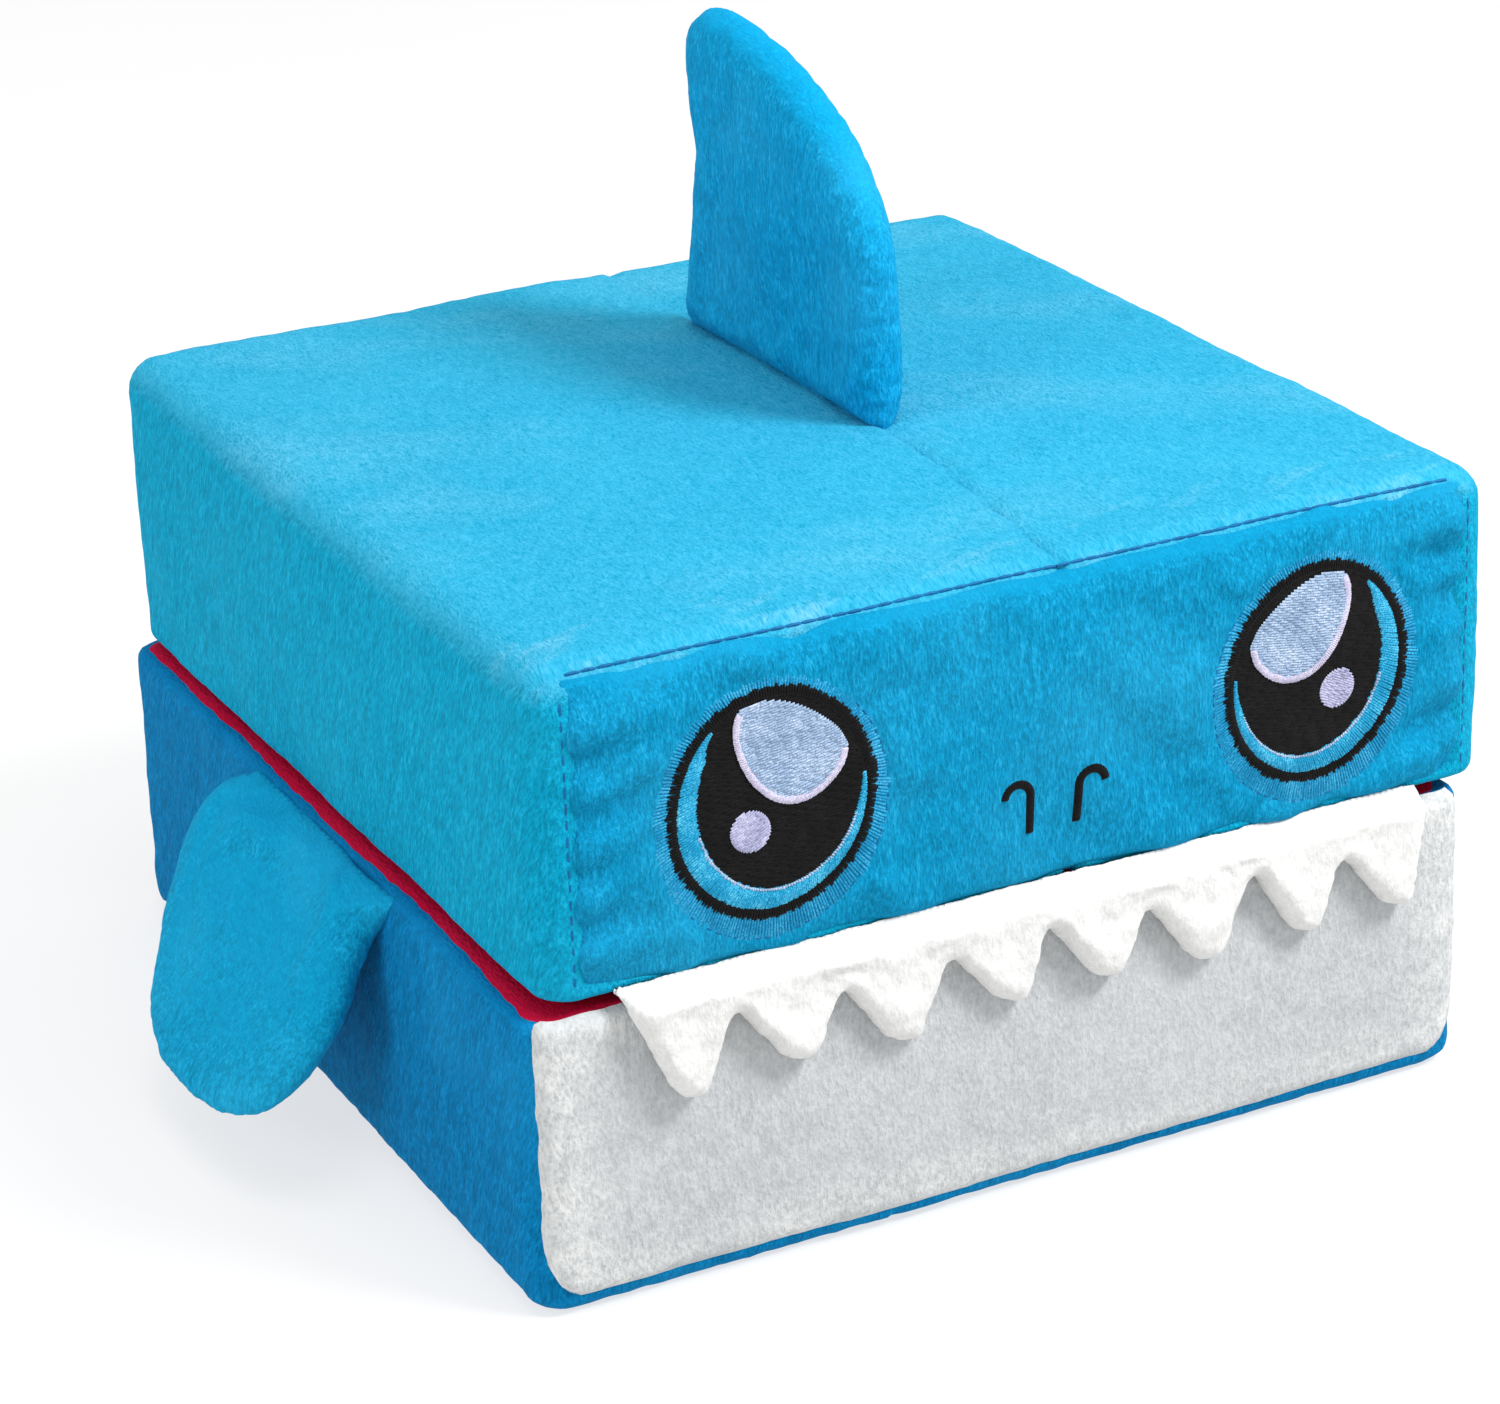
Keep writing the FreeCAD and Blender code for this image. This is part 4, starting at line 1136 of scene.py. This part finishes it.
def strand(start, end, width, rise, cells):
    """One laid thread: a low rounded ridge from start to end, with its ends turned into the cloth."""
    share = np.linspace(0, 1, cells + 1)
    arch = np.sqrt(np.clip(1 - (2 * share - 1) ** 4, 0, 1))
    centre = start + (end - start) * share[:, None]
    way = (end - start) / max(np.linalg.norm(end - start), 1e-9)
    side = np.array([-way[1], way[0]]) * width / 2
    rows = [
        np.column_stack([centre + side * offset, rise * high * arch - THREAD_SUNK])
        for offset, high in THREAD_SECTION
    ]
    return np.concatenate(rows), grid_faces(len(rows) - 1, cells)


def embroidered(name, node, strands, field):
    """A field of laid threads on the face, from start and end points in the face's own plane."""
    width, rise, stack, slot = FIELDS[field]
    all_points, all_faces, first = [], [], 0
    for start, end in strands:
        cells = int(np.clip(np.linalg.norm(end - start) / THREAD_CELL, 3, 8))
        points, faces = strand(start, end, width * MM, rise * MM, cells)
        all_points.append(points)
        all_faces += [tuple(first + index for index in face) for face in faces]
        first += len(points)
    across, up, out = np.concatenate(all_points).T
    points = np.column_stack([across, face_surface(across, up) - stack * MM - out, up])
    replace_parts(mesh_piece(name, points, all_faces, "lid", slot), node)


def satin(inner, outer, turns, rough, ragged=0.1):
    """Strands across a band between two closed lines, given as functions of the turn."""
    made = [(inner(turn), outer(turn + rough.uniform(-0.006, 0.006))) for turn in turns]
    return [(a + (a - b) * rough.uniform(0, 0.06), b + (b - a) * rough.uniform(0, ragged)) for a, b in made]


def filled(outline, slope, pitch, stitch, rough):
    """Rows of short stitches that fill an outline, each row shifted against the last."""
    turn = np.array([[math.cos(slope), math.sin(slope)], [-math.sin(slope), math.cos(slope)]])
    turned = outline @ turn.T
    low, high = turned.min(0), turned.max(0)
    made = []
    for level in np.arange(low[1] + pitch / 2, high[1], pitch):
        crossings = sorted(
            ax + (level - ay) / (by - ay) * (bx - ax)
            for (ax, ay), (bx, by) in zip(turned, np.roll(turned, -1, axis=0))
            if (ay > level) != (by > level)
        )
        for left, right in zip(crossings[::2], crossings[1::2]):
            cuts = np.arange(left - stitch * rough.random(), right, stitch)[1:]
            marks = [left, *[c for c in cuts if left + 0.8 * MM < c < right - 0.8 * MM], right]
            made += [((a, level), (b, level)) for a, b in zip(marks, marks[1:])]
    return [(np.array(a) @ turn, np.array(b) @ turn) for a, b in made]


def turns_round(radius, start=0.0, end=2 * math.pi):
    """Turns at the pitch of the stitches on a circle."""
    return np.arange(start, end, PITCH / radius)


def make_eye(side, sign):
    """One embroidered eye: halo, black outline, bright crescent, black pupil and two highlights."""
    rough = random.Random(11 + sign)
    centre = np.array(eye_centre(sign))
    mirror = np.array([-sign, 1])
    name = f"eye_{side}"

    def oval(size, shift=(0, 0)):
        """A closed line round the eye, as a function of the turn."""
        return lambda turn: centre + mirror * (shift + size * [math.cos(turn), math.sin(turn)])

    def closed(line, count):
        return np.array([line(turn) for turn in np.linspace(0, 2 * math.pi, count, endpoint=False)])

    ring_in, ring_out = oval(EYE_SIZE - RING_LINE), oval(EYE_SIZE)
    halo_out = oval(HALO_SIZE, (0, -HALO_DROP))
    pupil = oval(PUPIL_SIZE, PUPIL_SHIFT)
    thin_end = oval(EYE_SIZE - RING_LINE - 1.0 * MM)
    around = turns_round(EYE_SIZE.mean())

    def crescent_inner(turn):
        """The pupil's edge, but close to the ring at the crescent's thin ends."""
        thin = max(0.0, min(1.0, min(turn - CRESCENT_FROM, CRESCENT_TO - turn) / CRESCENT_THIN))
        return pupil(turn) * thin + thin_end(turn) * (1 - thin)

    halo = satin(ring_in, halo_out, around, rough, 0.2)
    embroidered(f"{name}_halo_thread", f"{name}_halo", halo, "halo")
    edge = [(halo_out(turn), halo_out(turn + EDGE_STITCH)) for turn in np.arange(*EDGE_TURNS, EDGE_PITCH)]
    embroidered(f"{name}_edge_thread", f"{name}_edge_line", edge, "edge")
    black = filled(closed(oval(EYE_SIZE - 0.6 * RING_LINE), 90), 0.0, PITCH, 5 * MM, rough)
    embroidered(f"{name}_pupil_thread", f"{name}_pupil", black, "pupil")
    crescent_turns = turns_round(EYE_SIZE.mean(), CRESCENT_FROM, CRESCENT_TO)
    crescent = satin(crescent_inner, ring_in, crescent_turns, rough)
    embroidered(f"{name}_crescent_thread", f"{name}_crescent", crescent, "crescent")
    outline = satin(ring_in, ring_out, around, rough, 0.4)
    embroidered(f"{name}_outline_thread", f"{name}_outline", outline, "outline")

    light = [
        (pupil(turn), pupil(turn) + (ring_in(turn) - pupil(turn)) * rough.uniform(0.08, 0.2))
        for turn in turns_round(PUPIL_SIZE.mean(), *LIGHT_TURNS)
    ]
    glint = centre + mirror * curve_through(GLINT_LINE, CURVE_STEPS)[:-1] * MM
    sky = filled(glint, mirror[0] * GLINT_SLOPE, 0.62 * MM, 3.4 * MM, rough)
    embroidered(f"{name}_highlight_thread", f"{name}_highlight", sky + light, "highlight")
    lower = glint[slice(*(int(share * len(glint)) for share in GLINT_BORDER))]
    marks = np.linspace(0, len(lower) - 1, BORDER_STRANDS)
    dense = np.column_stack([np.interp(marks, range(len(lower)), lower[:, k]) for k in (0, 1)])
    to_middle = glint.mean(0) - dense
    inward = dense + to_middle / np.linalg.norm(to_middle, axis=1, keepdims=True) * BORDER_WIDE
    border = [(a + (a - b) * rough.uniform(0, 0.1), b) for a, b in zip(dense, inward)]
    embroidered(f"{name}_border_thread", f"{name}_highlight_border", border, "border")
    spot_at = centre + mirror * SPOT_AT
    spot = closed(lambda turn: spot_at + SPOT_RADIUS * np.array([math.cos(turn), math.sin(turn)]), 40)
    pale = filled(spot, mirror[0] * SPOT_SLOPE, 0.55 * MM, 4 * MM, rough)
    embroidered(f"{name}_spot_thread", f"{name}_small_highlight", pale, "spot")


def make_nostril(side, sign):
    """A short stitched bar whose top bends over into a hook."""
    low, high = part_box(f"nostril_{side}")
    radius = (high.x - low.x) / 2 - NOSTRIL_HALF_LINE
    bar_x = (high.x if sign < 0 else low.x) + sign * NOSTRIL_HALF_LINE
    path = [np.array([bar_x, z]) for z in np.linspace(low.z, high.z - radius, 12)]
    path += [
        np.array([bar_x + sign * radius * (1 - math.cos(t)), high.z - radius + radius * math.sin(t)])
        for t in np.linspace(0.2, math.pi, 12)
    ]
    across = []
    for a, b in zip(path, path[1:]):
        way = (b - a) / np.linalg.norm(b - a)
        reach = np.array([-way[1], way[0]]) * NOSTRIL_REACH
        across += [(a + (b - a) * share - reach, a + (b - a) * share + reach) for share in (0.0, 0.5)]
    embroidered(f"nostril_{side}_thread", f"nostril_{side}", across, "nostril")


def seam_stitches_and_shade(name, across, run):
    """Short dark threads sunk along a line on the lid's front, laid close so that they also paint the shade in the
    seam's groove.
    """
    path, normals = LID.front(across, run)
    path = path + normals * (LID.swell(path, normals) - STITCH_SUNK)[:, None]
    along = lengths_along(path)
    arch = np.sin(np.linspace(0, math.pi, STITCH_MARKS))[:, None] * STITCH_ARCH
    points, faces = [], []
    for start in np.arange(1 * MM, along[-1] - STITCH, STITCH_PITCH):
        marks = np.linspace(start, start + STITCH, STITCH_MARKS)
        spine, out = (
            np.column_stack([np.interp(marks, along, line[:, k]) for k in range(3)])
            for line in (path, normals)
        )
        way = spine[-1] - spine[0]
        side = np.cross(way / np.linalg.norm(way), out)
        first = len(points)
        for corner in range(STITCH_SIDES):
            turn = 2 * math.pi * corner / STITCH_SIDES
            radial = side * math.cos(turn) + out * math.sin(turn)
            points.append(spine + out * arch + STITCH_RADIUS * radial)
            here, following = first + corner, first + (corner + 1) % STITCH_SIDES
            for i in range(STITCH_MARKS - 1):
                a, b = here * STITCH_MARKS + i, following * STITCH_MARKS + i
                faces.append((a, a + 1, b + 1, b))
    mesh_piece(name, np.concatenate(points), faces, "lid", "blue_thread_dark")


def make_seams():
    """Dark thread in the face panel's top and side seams: stitching that also paints the shade in the seams'
    grooves.
    """
    across = np.linspace(-FACE_HALF + 2 * MM, FACE_HALF - 2 * MM, 160)
    seam_stitches_and_shade("seam_face_top", across, np.full(160, FACE_RUNS[1]))
    runs = np.linspace(FACE_RUNS[0] + 2 * MM, FACE_RUNS[1] - 2 * MM, 50)
    for side, sign in SIDES:
        seam_stitches_and_shade(f"seam_face_{side}", np.full(50, sign * FACE_HALF), runs)


def make_hinge_cloth():
    """The strip of blue cloth along the back that the lid turns on, sewn down along its whole border."""
    low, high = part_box("hinge_fold")
    middle = (low.z + high.z) / 2
    xs = np.linspace(LID_X - HALF[0] + CORNER, HALF[0] - CORNER, HINGE_COLUMNS + 1)
    ends = smooth_step(np.minimum(xs - xs[0], xs[-1] - xs) / HINGE_SEWN)
    outer = []
    for z in np.linspace(middle - HINGE_REACH, middle + HINGE_REACH, HINGE_ROWS + 1):
        free = smooth_step((HINGE_REACH - abs(z - middle)) / HINGE_SEWN)
        out = HALF[1] - 0.4 * MM + (SIDE_CROWN * 0.6 + 1.4 * MM) * free * ends
        rough = np.array([noise.noise(Vector((x, z, 3)) / (9 * MM)) for x in xs])
        outer += list(zip(xs, out + 0.3 * MM * rough, np.full(len(xs), z)))
    outer = np.array(outer)
    inner = outer - [0, HINGE_THICK, 0]
    wide, top = HINGE_COLUMNS + 1, HINGE_ROWS * (HINGE_COLUMNS + 1)
    faces = [face[::-1] for face in grid_faces(HINGE_ROWS, HINGE_COLUMNS)]
    faces += grid_faces(HINGE_ROWS, HINGE_COLUMNS, len(outer))
    border = [*range(0, top + 1, wide), *range(top + 1, top + wide)]
    border += [*range(top - 1, 0, -wide), *range(HINGE_COLUMNS - 1, 0, -1)]
    faces += [(a, b, b + len(outer), a + len(outer)) for a, b in zip(border, border[1:] + border[:1])]
    strip = mesh_piece("hinge_cloth", np.concatenate([outer, inner]), faces, None, "base_plush")
    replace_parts(strip, "hinge_fold")
    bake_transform(strip)


make_camera()
make_studio()
dress_frame()
make_lid()
make_base()
make_linings()
make_dorsal_fin()
for side_name, side_sign in SIDES:
    make_pectoral_fin(side_name, side_sign)
make_teeth()
for side_name, side_sign in SIDES:
    make_eye(side_name, side_sign)
for side_name, side_sign in SIDES:
    make_nostril(side_name, side_sign)
make_seams()
make_hinge_cloth()
